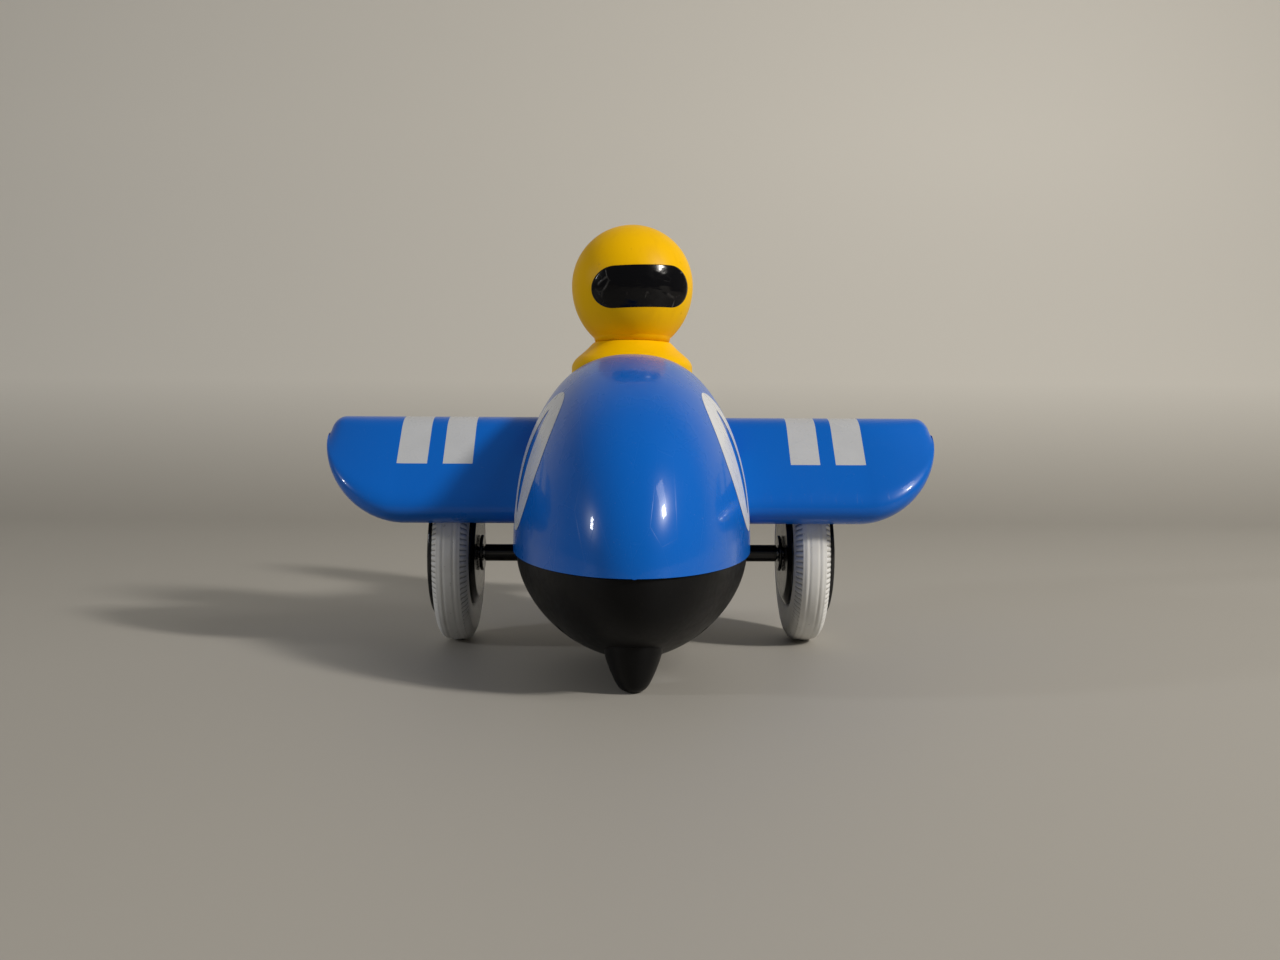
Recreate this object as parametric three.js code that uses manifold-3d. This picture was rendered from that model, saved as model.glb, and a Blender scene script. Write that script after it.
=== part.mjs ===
// Push-along toy airplane: hollow egg-shaped fuselage, two thick wings, a turned pilot that is pressed down
// like a button, and one axle that the pilot drives through a rack, two gears and a one-way clutch.
// Units are millimetres. +Z is up, the nose points to -Y, and +X is the airplane's left-hand side as seen
// from the front. Everything is laid out from the axle, which crosses Y = 0, and the whole group is then
// moved so that the origin lies on the floor under the middle of the airplane.
import * as THREE from "three";
import { mergeVertices } from "three/addons/utils/BufferGeometryUtils.js";
import Module from "manifold-3d";

const wasm = await Module();
wasm.setup();

// ---------------------------------------------------------------- driving dimensions

const GAP = 0.3; // clearance between pieces that rest on each other
const WALL = 2.4; // thickness of the moulded shells

const WHEEL_RADIUS = 26.5;
const TYRE_WIDTH = 10.4;
const TYRE_BORE_RADIUS = 15.9;
const WHEEL_CENTRE_X = 52.7;
const AXLE_RADIUS = 1.6;
const AXLE_Z = WHEEL_RADIUS;

const NOSE_REACH = 96; // from the axle forward to the nose
const TAIL_REACH = 90; // from the axle back to the tail
const BODY_HALF_WIDTH = 34.8;
const BODY_TOP_Z = 87.6;
const BELLY_Z = 1.9;
const SEAM_Z = 29.9; // height of the level seam between the shells
const BOWL_STEP = 0.9; // how far the lower shell stands in from the edge of the upper one

const PILOT_Y = -11;
const HEAD_RADIUS = 18;
const HEAD_Z = 107.4;
const PILOT_TURN = THREE.MathUtils.degToRad(10.5); // the way the pilot faces at rest
const COLLAR_RADIUS = 17.9;
const COCKPIT_RADIUS = 20.2;

const WING_HALF_SPAN = 90;
const WING_FRONT_Y = -33.5;
const WING_BACK_Y = 28;
const WING_CORNER_RADIUS = 22;

const GEAR_MODULE = 0.7;
const PINION_TEETH = 12;
const WHEEL_GEAR_TEETH = 34;
const RACK_PITCH_Y = -6;

// ---------------------------------------------------------------- materials

const plastic = (color, roughness) =>
  new THREE.MeshStandardMaterial({ color, roughness, metalness: 0 });
const metal = (color, roughness) =>
  new THREE.MeshStandardMaterial({ color, roughness, metalness: 1 });

const BLUE = plastic(0x0a55b4, 0.22);
const BLACK = plastic(0x17181b, 0.45);
const YELLOW = plastic(0xf7b90c, 0.5);
const VISOR_BLACK = plastic(0x08080a, 0.15);
const WHITE_RUBBER = plastic(0xe4e4e0, 0.6);
const GEAR_WHITE = plastic(0xdedcd2, 0.4);
const WOOD = plastic(0xd9b98a, 0.7);
const STEEL = metal(0xa8abb0, 0.3);

// ---------------------------------------------------------------- solids

// A closed geometry as a manifold-3d solid, with its faces pointing out.
function solid(geometry) {
  const bare = geometry.clone();
  bare.deleteAttribute("normal");
  bare.deleteAttribute("uv");
  const merged = mergeVertices(bare, 1e-4);
  const vertProperties = new Float32Array(merged.attributes.position.array);
  const triVerts = new Uint32Array(merged.index.array);
  const made = new wasm.Manifold(new wasm.Mesh({ numProp: 3, vertProperties, triVerts }));
  if (made.volume() > 0) return made;
  triVerts.reverse();
  return new wasm.Manifold(new wasm.Mesh({ numProp: 3, vertProperties, triVerts }));
}

// The solid's surface as a three.js geometry.
function surface(body) {
  const mesh = body.getMesh();
  const geometry = new THREE.BufferGeometry();
  geometry.setAttribute("position", new THREE.BufferAttribute(mesh.vertProperties, 3));
  geometry.setIndex(new THREE.BufferAttribute(mesh.triVerts, 1));
  const faceted = geometry.toNonIndexed();
  faceted.computeVertexNormals();
  return faceted;
}

const unite = (bodies) => bodies.reduce((sum, body) => sum.add(body));
const cut = (body, tools) => tools.reduce((rest, tool) => rest.subtract(tool), body);

const X_FROM_SHAPE = new THREE.Matrix4().makeBasis(
  new THREE.Vector3(0, 1, 0),
  new THREE.Vector3(0, 0, 1),
  new THREE.Vector3(1, 0, 0),
);

// An outline in the (Y, Z) plane, extruded along X.
function extrudeX(shape, x0, x1, curveSegments = 8) {
  const options = { depth: x1 - x0, bevelEnabled: false, curveSegments };
  const geometry = new THREE.ExtrudeGeometry(shape, options);
  return solid(geometry.applyMatrix4(X_FROM_SHAPE).translate(x0, 0, 0));
}

// An outline in the (X, Y) plane, extruded upwards.
function extrudeZ(shape, z0, z1, curveSegments = 8) {
  const options = { depth: z1 - z0, bevelEnabled: false, curveSegments };
  const geometry = new THREE.ExtrudeGeometry(shape, options);
  return solid(geometry.translate(0, 0, z0));
}

// An outline in the (X, Z) plane, extruded along Y.
function extrudeY(shape, y0, y1, curveSegments = 8) {
  const options = { depth: y1 - y0, bevelEnabled: false, curveSegments };
  const geometry = new THREE.ExtrudeGeometry(shape, options);
  return solid(geometry.rotateX(Math.PI / 2).translate(0, y1, 0));
}

// A profile of [radius, height] points, turned about the Z axis.
function turnZ(profile, segments, x = 0, y = 0) {
  const points = profile.map(([r, h]) => new THREE.Vector2(r, h));
  const geometry = new THREE.LatheGeometry(points, segments);
  return solid(geometry.rotateX(Math.PI / 2).translate(x, y, 0));
}

// A profile of [radius, x] points, turned about the axle's line or a line parallel to it.
function turnX(profile, segments, y = 0, z = AXLE_Z) {
  const points = profile.map(([r, h]) => new THREE.Vector2(r, h));
  const geometry = new THREE.LatheGeometry(points, segments);
  return solid(geometry.rotateZ(-Math.PI / 2).translate(0, y, z));
}

const rodX = (radius, x0, x1, y, z, segments = 20) =>
  turnX([[0, x0], [radius, x0], [radius, x1], [0, x1]], segments, y, z);
const rodZ = (radius, z0, z1, x, y, segments = 20) =>
  turnZ([[0, z0], [radius, z0], [radius, z1], [0, z1]], segments, x, y);

function tubeX(inner, outer, x0, x1, y = 0, z = AXLE_Z, segments = 24) {
  return turnX([[inner, x0], [outer, x0], [outer, x1], [inner, x1], [inner, x0]], segments, y, z);
}

function box(x0, x1, y0, y1, z0, z1) {
  const geometry = new THREE.BoxGeometry(x1 - x0, y1 - y0, z1 - z0);
  return solid(geometry.translate((x0 + x1) / 2, (y0 + y1) / 2, (z0 + z1) / 2));
}

// A skin over rings of equally many points, closed to a point at each end.
function loft(rings, firstTip, lastTip) {
  const count = rings[0].length;
  const vertices = rings.flat().concat([firstTip, lastTip]);
  const indices = [];
  for (let i = 0; i < rings.length - 1; i++) {
    for (let j = 0; j < count; j++) {
      const k = (j + 1) % count;
      const [a, b, c, d] = [i * count + j, i * count + k, (i + 1) * count + k, (i + 1) * count + j];
      indices.push(a, b, c, a, c, d);
    }
  }
  const first = rings.length * count;
  const last = (rings.length - 1) * count;
  for (let j = 0; j < count; j++) {
    const k = (j + 1) % count;
    indices.push(first, k, j);
    indices.push(first + 1, last + j, last + k);
  }
  const geometry = new THREE.BufferGeometry().setFromPoints(vertices);
  geometry.setIndex(indices);
  return solid(geometry);
}

// ---------------------------------------------------------------- the airplane's group

const airplane = new THREE.Group();

function addPiece(name, body, material, parent = airplane) {
  const mesh = new THREE.Mesh(surface(body), material);
  mesh.name = name;
  parent.add(mesh);
  return mesh;
}

// ---------------------------------------------------------------- fuselage

const TAIL = { width: 8, top: 57.5, middle: 50, bottom: 43.5, rounding: 10 };
const FIN_TENON = [61, 77]; // where the fin and the tailplane are let into the body, along its length
const TAILPLANE_TENON = [57, 71];
const WIDEST_Y = -10; // where the body is widest and highest
const BELLY_Y = -24; // where the belly is lowest
const BODY_FULLNESS = 2.2; // power of the outline above the seam: 2 is an ellipse, and more is squarer
const BOWL_FULLNESS = 1.9; // the same below the seam
const NOSE_FULLNESS = 1.85; // the same for the nose seen from above
const CHIN_FULLNESS = 2.4; // the same for the underside of the nose seen from the side

// 1 at the start of a stretch and 0 at its end, level at both.
const fade = (y, start, end) => (1 + Math.cos((Math.PI * (y - start)) / (end - start))) / 2;
const roundOff = (t, power) => Math.pow(Math.max(0, 1 - Math.pow(Math.abs(t), power)), 1 / power);

// Half-width, top, widest height and bottom of the body at a station along its length.
function bodySection(y) {
  if (y < WIDEST_Y) {
    const middle = SEAM_Z;
    const nose = roundOff((WIDEST_Y - y) / (NOSE_REACH + WIDEST_Y), NOSE_FULLNESS);
    const chin = Math.max(0, BELLY_Y - y) / (NOSE_REACH + BELLY_Y);
    const belly = roundOff(chin, CHIN_FULLNESS);
    const floor = y < BELLY_Y ? BELLY_Z : bellyBehind(y);
    return {
      width: BODY_HALF_WIDTH * nose,
      top: middle + (BODY_TOP_Z - middle) * nose,
      middle,
      bottom: middle - (middle - floor) * belly,
    };
  }
  const back = fade(y, WIDEST_Y, TAIL_REACH);
  const closing = y - (TAIL_REACH - TAIL.rounding);
  const end = closing > 0 ? roundOff(closing / TAIL.rounding, 2) : 1;
  const middle = TAIL.middle + (SEAM_Z - TAIL.middle) * back;
  return {
    width: (TAIL.width + (BODY_HALF_WIDTH - TAIL.width) * back) * end,
    top: middle + (TAIL.top + (BODY_TOP_Z - TAIL.top) * back - middle) * end,
    middle,
    bottom: middle + (bellyBehind(y) - middle) * end,
  };
}

function bellyBehind(y) {
  return TAIL.bottom + (BELLY_Z - TAIL.bottom) * fade(y, BELLY_Y, TAIL_REACH);
}

// One ring of the body: a tall egg outline.
function bodyRing(y, inset, count) {
  const { width, top, middle, bottom } = bodySection(y);
  return Array.from({ length: count }, (_, j) => {
    const angle = (2 * Math.PI * j) / count;
    const fullness = 2 / (Math.sin(angle) > 0 ? BODY_FULLNESS : BOWL_FULLNESS);
    const across = Math.sign(Math.cos(angle)) * Math.pow(Math.abs(Math.cos(angle)), fullness);
    const up = Math.sign(Math.sin(angle)) * Math.pow(Math.abs(Math.sin(angle)), fullness);
    const reach = up > 0 ? top - middle : middle - bottom;
    const x = Math.max(width - inset, 0.4) * across;
    return new THREE.Vector3(x, y, middle + Math.max(reach - inset, 0.4) * up);
  });
}

// The body as one closed egg, drawn in by an inset on every side.
function bodyEgg(inset, stations, count) {
  const start = -NOSE_REACH + inset;
  const end = TAIL_REACH - inset;
  const rings = [];
  for (let i = 1; i < stations; i++) {
    const t = (1 - Math.cos((Math.PI * i) / stations)) / 2;
    rings.push(bodyRing(start + (end - start) * t, inset, count));
  }
  const tip = (y) => new THREE.Vector3(0, y, bodySection(y).middle);
  return loft(rings, tip(start), tip(end));
}

const SECTION_REACH = 200; // larger than the airplane, for half-space cutters

// Everything above or below the seam, which is kept clear by half a gap.
function seamSide(side) {
  const edge = SEAM_Z + (side * GAP) / 2;
  const far = edge + side * SECTION_REACH;
  const [low, high] = [Math.min(edge, far), Math.max(edge, far)];
  return box(-SECTION_REACH, SECTION_REACH, -SECTION_REACH, SECTION_REACH, low, high);
}

const bodyOuter = bodyEgg(0, 22, 28);
const bodyInner = bodyEgg(WALL, 12, 16);
const bodyClearance = bodyEgg(-GAP, 22, 28);
const bodyCore = bodyEgg(WALL / 2, 12, 16);
const bowlOuter = bodyEgg(BOWL_STEP, 22, 28);
const bowlClearance = bodyEgg(BOWL_STEP - GAP, 22, 28);
const aboveSeam = seamSide(1);
const belowSeam = seamSide(-1);

// Each axle bush is plugged into a boss inside the body, and its flange lies in a shallow round seat.
const BUSH = { radius: 4, flangeRadius: 6.1, flange: 0.8, length: 5, seatX: 32.6, bossRadius: 6.4 };
const BUSH_BORE = AXLE_RADIUS + GAP;
const DOWEL = { radius: 2, front: [-25, 45.5], back: [11.5, 55], halfLength: 46 };
const DOWELS = [DOWEL.front, DOWEL.back];

const BODY_SCREW_PLACES = [
  [-17, -58],
  [17, -58],
  [-15, 20],
  [15, 20],
];
const SCREW = { shank: 1.25, head: 2.6, headHeight: 1.8 };
const BODY_SCREW_TIP_Z = SEAM_Z + 8; // the body screws cross the seam into the upper shell's posts
const BODY_SCREW_DEPTH = 5.4; // how far their heads' seats lie above the belly's outside
const POST_RADIUS = 4.3;

// The height of the belly's outside under a point.
function bellyHeight(x, y) {
  const { width, middle, bottom } = bodySection(y);
  return middle - (middle - bottom) * roundOff(x / width, BOWL_FULLNESS);
}

// Room for one body screw: its shank, and a pocket for its head that opens below.
function bodyScrewRoom([x, y]) {
  const seat = bellyHeight(x, y) + BODY_SCREW_DEPTH;
  return unite([
    rodZ(SCREW.shank + GAP, seat - 1, BODY_SCREW_TIP_Z + 1, x, y, 10),
    rodZ(SCREW.head + GAP, seat - 16, seat, x, y, 12),
  ]);
}

function makeScrewZ([x, y], seat, tip) {
  const top = seat - GAP;
  const profile = [
    [0, top - SCREW.headHeight],
    [SCREW.head * 0.7, top - SCREW.headHeight],
    [SCREW.head, top - SCREW.headHeight * 0.55],
    [SCREW.head, top],
    [SCREW.shank, top],
    [SCREW.shank, tip - 1.5],
    [0, tip],
  ];
  return turnZ(profile, 8, x, y);
}

function buildFuselage() {
  const posts = unite(BODY_SCREW_PLACES.map(([x, y]) => rodZ(POST_RADIUS, 0, 90, x, y, 12)));
  const screwRooms = BODY_SCREW_PLACES.map(bodyScrewRoom);
  const bosses = unite(
    [-1, 1].map((side) => rodX(BUSH.bossRadius, side * 28, side * 36, 0, AXLE_Z, 20)),
  ).intersect(bodyOuter);
  const bushRooms = [-1, 1].flatMap((side) => [
    rodX(BUSH.radius + GAP, side * 27, side * 40, 0, AXLE_Z, 16),
    rodX(BUSH.flangeRadius + GAP, side * BUSH.seatX, side * 40, 0, AXLE_Z, 24),
  ]);
  const dowelRooms = DOWELS.map(([y, z]) => rodX(DOWEL.radius + GAP, -60, 60, y, z, 12));
  const cockpit = rodZ(COCKPIT_RADIUS, 60, 110, 0, PILOT_Y, 36);
  const finSlot = box(-2.3, 2.3, FIN_TENON[0] - GAP, FIN_TENON[1] + GAP, 50, 90);
  const [planeFront, planeBack] = TAILPLANE_TENON;
  const tailplaneSlot = box(-20, 20, planeFront - GAP, planeBack + GAP, 51.5 - GAP, 55.5 + GAP);

  const hollow = unite([bodyOuter.subtract(bodyInner), posts.intersect(bodyCore), bosses]);
  const upper = cut(hollow.intersect(aboveSeam), [
    cockpit,
    finSlot,
    tailplaneSlot,
    ...bushRooms,
    ...dowelRooms,
    ...screwRooms,
  ]);
  addPiece("fuselage_upper_shell", upper, BLUE);

  const ribs = [-1, 1].map((side) =>
    box(side * 9.9 - 0.9, side * 9.9 + 0.9, -20, -4, 0, GEARBOX.bottom - GAP).intersect(bodyCore),
  );
  const bowl = unite([hollow, ...ribs]).intersect(belowSeam).intersect(bowlOuter);
  const lower = cut(bowl, [
    rodZ(SKID.plugRadius + GAP, 0, 30, 0, SKID.y, 24),
    ...bushRooms,
    ...screwRooms,
  ]);
  addPiece("fuselage_lower_shell", lower, BLACK);

  BODY_SCREW_PLACES.forEach((place, i) => {
    const seat = bellyHeight(...place) + BODY_SCREW_DEPTH;
    addPiece(`body_screw_${i + 1}`, makeScrewZ(place, seat, BODY_SCREW_TIP_Z), STEEL);
  });
}

// ---------------------------------------------------------------- nose skid

const SKID = { y: -73, topRadius: 7.6, footHalfWidth: 2.3, footHalfLength: 4, plugRadius: 4 };

// A tapered foot under the nose, plugged into the lower shell, with a small flat where it stands.
function buildSkid() {
  const count = 24;
  const levels = [
    [0, 0],
    [0.5, 0.18],
    [1.8, 0.36],
    [5, 0.64],
    [10, 0.97],
    [14.5, 1],
  ];
  const rings = levels.map(([z, spread]) =>
    Array.from({ length: count }, (_, j) => {
      const angle = (2 * Math.PI * j) / count;
      const rx = SKID.footHalfWidth + (SKID.topRadius - SKID.footHalfWidth) * spread;
      const ry = SKID.footHalfLength + (SKID.topRadius * 1.3 - SKID.footHalfLength) * spread;
      return new THREE.Vector3(rx * Math.cos(angle), SKID.y + ry * Math.sin(angle), z);
    }),
  );
  const top = levels[levels.length - 1][0];
  const foot = loft(rings, new THREE.Vector3(0, SKID.y, 0), new THREE.Vector3(0, SKID.y, top));
  const plug = rodZ(SKID.plugRadius, 5, 17, 0, SKID.y, 20);
  addPiece("nose_skid", keepLargest(foot.subtract(bowlClearance)).add(plug), BLACK);
}

// ---------------------------------------------------------------- wings and dowels

const WING = { low: 37.4, peak: 68.3, root: 20, lip: 8, roomBack: 3.4, mouthEnd: 70 };
const WING_TIP = { lowAcross: 25, lowRise: 25.6, high: 4.5 }; // roundings of the tip seen from the front

// The wing's thick section in the (Y, Z) plane, drawn in by an inset.
function wingSection(inset) {
  const s = new THREE.Shape();
  const front = WING_FRONT_Y + inset;
  const back = WING_BACK_Y - inset;
  const low = WING.low + inset;
  const peak = WING.peak - inset;
  s.moveTo(front + 8, low);
  s.quadraticCurveTo(front - 1.6, low + 0.4, front + 0.9, low + 7.4);
  s.lineTo(front + 16.8, peak - 4.4);
  s.bezierCurveTo(front + 20.5, peak + 0.4, front + 27, peak + 1.5, front + 35, peak - 3);
  s.quadraticCurveTo(back - 9, peak - 12, back - 0.6, low + 3.6);
  s.quadraticCurveTo(back, low, back - 2, low);
  return s;
}

// A stretch of one wing between two distances from the middle of the airplane.
function wingStretch(shape, side, near, far, curveSegments) {
  const stretch = extrudeX(shape, near, far, curveSegments);
  return side > 0 ? stretch : stretch.mirror([1, 0, 0]);
}

// The wing seen from above, with both tip corners rounded.
function wingPlan(side, inset) {
  const s = new THREE.Shape();
  const tip = WING_HALF_SPAN - inset;
  const front = WING_FRONT_Y + inset;
  const back = WING_BACK_Y - inset;
  const r = WING_CORNER_RADIUS - inset;
  s.moveTo(WING.root, front);
  s.lineTo(tip - r, front);
  s.absarc(tip - r, front + r, r, -Math.PI / 2, 0, false);
  s.absarc(tip - r, back - r, r, 0, Math.PI / 2, false);
  s.lineTo(WING.root, back);
  const plan = extrudeZ(s, 30, 80, 7);
  return side > 0 ? plan : plan.mirror([1, 0, 0]);
}

// The wing seen from the front: its tip curls up from below and is nearly square on top.
function wingFront(side, inset) {
  const s = new THREE.Shape();
  const tip = WING_HALF_SPAN - inset;
  const low = WING.low + inset;
  const high = WING.peak - inset;
  const across = WING_TIP.lowAcross - inset;
  const rise = WING_TIP.lowRise - inset;
  const q = Math.max(WING_TIP.high - inset, 0.6);
  s.moveTo(WING.root, low);
  s.lineTo(tip - across, low);
  s.absellipse(tip - across, low + rise, across, rise, -Math.PI / 2, 0, false, 0);
  s.absarc(tip - q, high - q, q, 0, Math.PI / 2, false);
  s.lineTo(WING.root, high);
  const front = extrudeY(s, WING_FRONT_Y - 5, WING_BACK_Y + 5, 6);
  return side > 0 ? front : front.mirror([1, 0, 0]);
}

// Each wing is a moulded cap, open below, with the top of its wheel inside and a lip along its front.
function buildWings() {
  const open = new THREE.Shape();
  open.moveTo(WING_FRONT_Y + WING.lip, WING.low - 5);
  open.lineTo(WING_BACK_Y - WING.roomBack, WING.low - 5);
  open.lineTo(WING_BACK_Y - WING.roomBack, WING.low + WALL + 1);
  open.lineTo(WING_FRONT_Y + WING.lip, WING.low + WALL + 1);
  const { root } = WING;
  for (const [name, side] of [["right_wing", -1], ["left_wing", 1]]) {
    const block = wingPlan(side, 0).intersect(wingFront(side, 0));
    const outside = wingStretch(wingSection(0), side, root, WING_HALF_SPAN + 1, 5).intersect(block);
    const core = wingPlan(side, WALL).intersect(wingFront(side, WALL));
    const hollow = wingStretch(wingSection(WALL), side, root, WING_HALF_SPAN, 4).intersect(core);
    const mouth = wingStretch(open, side, root, WING.mouthEnd, 4).intersect(wingPlan(side, WALL));
    const cavity = hollow.add(mouth);
    const sockets = DOWELS.map(([y, z]) => {
      const end = DOWEL.halfLength + 1.5;
      const web = box(root, end, y - 0.9, y + 0.9, z, WING.peak);
      const socket = rodX(DOWEL.radius + 1.8, root, end, y, z, 10).add(web);
      return (side > 0 ? socket : socket.mirror([1, 0, 0])).intersect(outside);
    });
    const bores = DOWELS.map(([y, z]) => {
      const reach = DOWEL.halfLength + GAP;
      return rodX(DOWEL.radius + GAP, -reach, reach, y, z, 10);
    });
    const wing = cut(unite([outside.subtract(cavity), ...sockets]), [bodyClearance, ...bores]);
    addPiece(name, wing, BLUE);
  }
  DOWELS.forEach(([y, z], i) => {
    const dowel = rodX(DOWEL.radius, -DOWEL.halfLength, DOWEL.halfLength, y, z, 10);
    addPiece(["front_wing_dowel", "rear_wing_dowel"][i], dowel, WOOD);
  });
}

// ---------------------------------------------------------------- tail

function buildTail() {
  const fin = new THREE.Shape();
  fin.moveTo(47, 50);
  fin.lineTo(61, 94);
  fin.quadraticCurveTo(66, 108, 76, 108);
  fin.quadraticCurveTo(89.5, 108, 89.3, 95);
  fin.lineTo(85, 50);
  const blade = extrudeX(fin, -3.2, 3.2, 6).subtract(bodyClearance);
  const tenon = box(-2, 2, ...FIN_TENON, 57.5, 74);
  addPiece("tail_fin", keepLargest(blade).add(tenon), BLUE);

  const plan = new THREE.Shape();
  const [half, front, back, r] = [32, 55, 79, 9];
  plan.moveTo(-half + r, front);
  plan.lineTo(half - r, front);
  plan.absarc(half - r, front + r, r, -Math.PI / 2, 0, false);
  plan.absarc(half - r, back - r, r, 0, Math.PI / 2, false);
  plan.lineTo(-half + r, back);
  plan.absarc(-half + r, back - r, r, Math.PI / 2, Math.PI, false);
  plan.absarc(-half + r, front + r, r, Math.PI, 1.5 * Math.PI, false);
  const plate = extrudeZ(plan, 50.5, 56.5, 6);
  const bar = box(-20, 20, ...TAILPLANE_TENON, 51.5, 55.5);
  addPiece("tailplane", plate.subtract(bodyClearance).add(bar), BLUE);
}

function keepLargest(body) {
  const pieces = body.decompose();
  return pieces.reduce((best, piece) => (piece.volume() > best.volume() ? piece : best));
}

// ---------------------------------------------------------------- wheels and axle

// A profile is drawn on the +X side and mirrored for the other wheel.
function turnWheelPiece(profile, segments, side) {
  const body = turnX(profile, segments);
  return side > 0 ? body : body.mirror([1, 0, 0]);
}

function buildWheels() {
  const inner = WHEEL_CENTRE_X - TYRE_WIDTH / 2;
  const outer = WHEEL_CENTRE_X + TYRE_WIDTH / 2;
  const R = WHEEL_RADIUS;
  const tyre = [
    [TYRE_BORE_RADIUS, inner + 1.2],
    [R - 6.5, inner],
    [R - 1.8, inner + 0.5],
    [R, inner + 2.4],
    [R, outer - 2.4],
    [R - 1.8, outer - 0.5],
    [R - 6.5, outer],
    [TYRE_BORE_RADIUS, outer - 1.2],
    [TYRE_BORE_RADIUS, inner + 1.2],
  ];
  const rim = TYRE_BORE_RADIUS - GAP;
  const hub = [
    [BUSH_BORE, inner - 1],
    [rim - 2.2, inner - 1],
    [rim, inner + 0.2],
    [rim, outer - 0.3],
    [rim - 0.5, outer + 0.1],
    [rim - 1.2, outer + 0.1],
    [rim - 1.2, outer - 1.6],
    [BUSH_BORE, outer - 1.6],
    [BUSH_BORE, inner - 1],
  ];
  const cap = [
    [0, outer - 1.6 + GAP],
    [rim - 1.5, outer - 1.6 + GAP],
    [rim - 1.5, outer - 0.1],
    [rim - 2.1, outer + 0.4],
    [9.5, outer + 1.3],
    [4.5, outer + 1.9],
    [0, outer + 2.1],
  ];
  const seat = BUSH.seatX + GAP;
  const bush = [
    [BUSH_BORE, seat - BUSH.length],
    [BUSH.radius, seat - BUSH.length],
    [BUSH.radius, seat],
    [BUSH.flangeRadius, seat],
    [BUSH.flangeRadius, seat + BUSH.flange],
    [BUSH_BORE, seat + BUSH.flange],
    [BUSH_BORE, seat - BUSH.length],
  ];
  const washerInner = inner - 1 - GAP - 1;
  for (const [name, side] of [["right", -1], ["left", 1]]) {
    addPiece(`${name}_tyre`, turnWheelPiece(tyre, 40, side), WHITE_RUBBER);
    addPiece(`${name}_wheel_hub`, turnWheelPiece(hub, 24, side), BLACK);
    addPiece(`${name}_hub_cap`, turnWheelPiece(cap, 20, side), BLACK);
    addPiece(`${name}_axle_bush`, turnWheelPiece(bush, 16, side), BLACK);
    const [w0, w1] = [washerInner, washerInner + 1];
    const [s0, s1] = [seat + BUSH.flange + GAP, washerInner - GAP];
    const washer = tubeX(BUSH_BORE, 5.5, w0, w1, 0, AXLE_Z, 16);
    const sleeve = tubeX(BUSH_BORE, 2.6, s0, s1, 0, AXLE_Z, 14);
    addPiece(`${name}_wheel_washer`, side > 0 ? washer : washer.mirror([1, 0, 0]), BLACK);
    addPiece(`${name}_axle_sleeve`, side > 0 ? sleeve : sleeve.mirror([1, 0, 0]), BLACK);
  }
  const end = outer - 1.6;
  addPiece("axle", rodX(AXLE_RADIUS, -end, end, 0, AXLE_Z, 16), STEEL);
}

// ---------------------------------------------------------------- gears

const TOOTH_HEIGHT = 0.95 * GEAR_MODULE;
const TOOTH_DEPTH = 1.2 * GEAR_MODULE;
const PRESSURE_ANGLE = THREE.MathUtils.degToRad(20);
const BACKLASH = 0.16;
const pitchRadius = (teeth) => (GEAR_MODULE * teeth) / 2;
const involute = (angle) => Math.tan(angle) - angle;

// Half of a tooth's angle at a radius, along an involute flank.
function halfToothAngle(teeth, radius) {
  const pitch = pitchRadius(teeth);
  const base = pitch * Math.cos(PRESSURE_ANGLE);
  const angle = Math.acos(Math.min(1, base / radius));
  const atPitch = Math.PI / (2 * teeth) - BACKLASH / (2 * pitch);
  return atPitch + involute(PRESSURE_ANGLE) - involute(angle);
}

function gearShape(teeth, y, z, phase) {
  const pitch = pitchRadius(teeth);
  const root = pitch - TOOTH_DEPTH;
  const tip = pitch + TOOTH_HEIGHT;
  const foot = Math.max(root, pitch * Math.cos(PRESSURE_ANGLE));
  const points = [];
  const add = (radius, angle) =>
    points.push(new THREE.Vector2(y + radius * Math.cos(angle), z + radius * Math.sin(angle)));
  const flank = foot > root + 0.2 ? [root, foot, pitch, tip] : [root, tip];
  for (let i = 0; i < teeth; i++) {
    const centre = phase + (2 * Math.PI * i) / teeth;
    for (const radius of flank) add(radius, centre - halfToothAngle(teeth, Math.max(radius, foot)));
    for (const radius of flank.toReversed()) add(radius, centre + halfToothAngle(teeth, Math.max(radius, foot)));
  }
  return new THREE.Shape(points);
}

const SHAFT_Y = RACK_PITCH_Y + pitchRadius(PINION_TEETH);
const GEAR_DISTANCE = pitchRadius(PINION_TEETH) + pitchRadius(WHEEL_GEAR_TEETH) + 0.05;
const SHAFT_Z = AXLE_Z + Math.sqrt(GEAR_DISTANCE ** 2 - SHAFT_Y ** 2);
const SHAFT_RADIUS = 1.5;
const PINION_X = [-6.8, -0.8];
const WHEEL_GEAR_X = [-0.8, 3.4];
const CLUTCH_GEAR_X = [-0.4, 4.2];
const RUNNING = 0.1; // clearance round a shaft that turns

function buildGears() {
  const downToAxle = Math.atan2(AXLE_Z - SHAFT_Z, -SHAFT_Y);
  const pinion = extrudeX(gearShape(PINION_TEETH, SHAFT_Y, SHAFT_Z, Math.PI), ...PINION_X);
  const wheel = extrudeX(gearShape(WHEEL_GEAR_TEETH, SHAFT_Y, SHAFT_Z, downToAxle), ...WHEEL_GEAR_X);
  const bore = rodX(SHAFT_RADIUS + RUNNING, -20, 20, SHAFT_Y, SHAFT_Z, 16);
  addPiece("compound_gear", pinion.add(wheel).subtract(bore), GEAR_WHITE);
  addPiece("gear_shaft", rodX(SHAFT_RADIUS, -10.4, 10.4, SHAFT_Y, SHAFT_Z, 16), STEEL);

  const meshing = downToAxle + Math.PI + Math.PI / PINION_TEETH;
  const clutchGear = extrudeX(gearShape(PINION_TEETH, 0, AXLE_Z, meshing), ...CLUTCH_GEAR_X);
  const axleRoom = rodX(AXLE_RADIUS + RUNNING, -20, 20, 0, AXLE_Z, 16);
  addPiece("clutch_gear", clutchGear.subtract(axleRoom), GEAR_WHITE);
  addPiece("clutch_collar", buildClutchCollar(), GEAR_WHITE);
}

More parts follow.
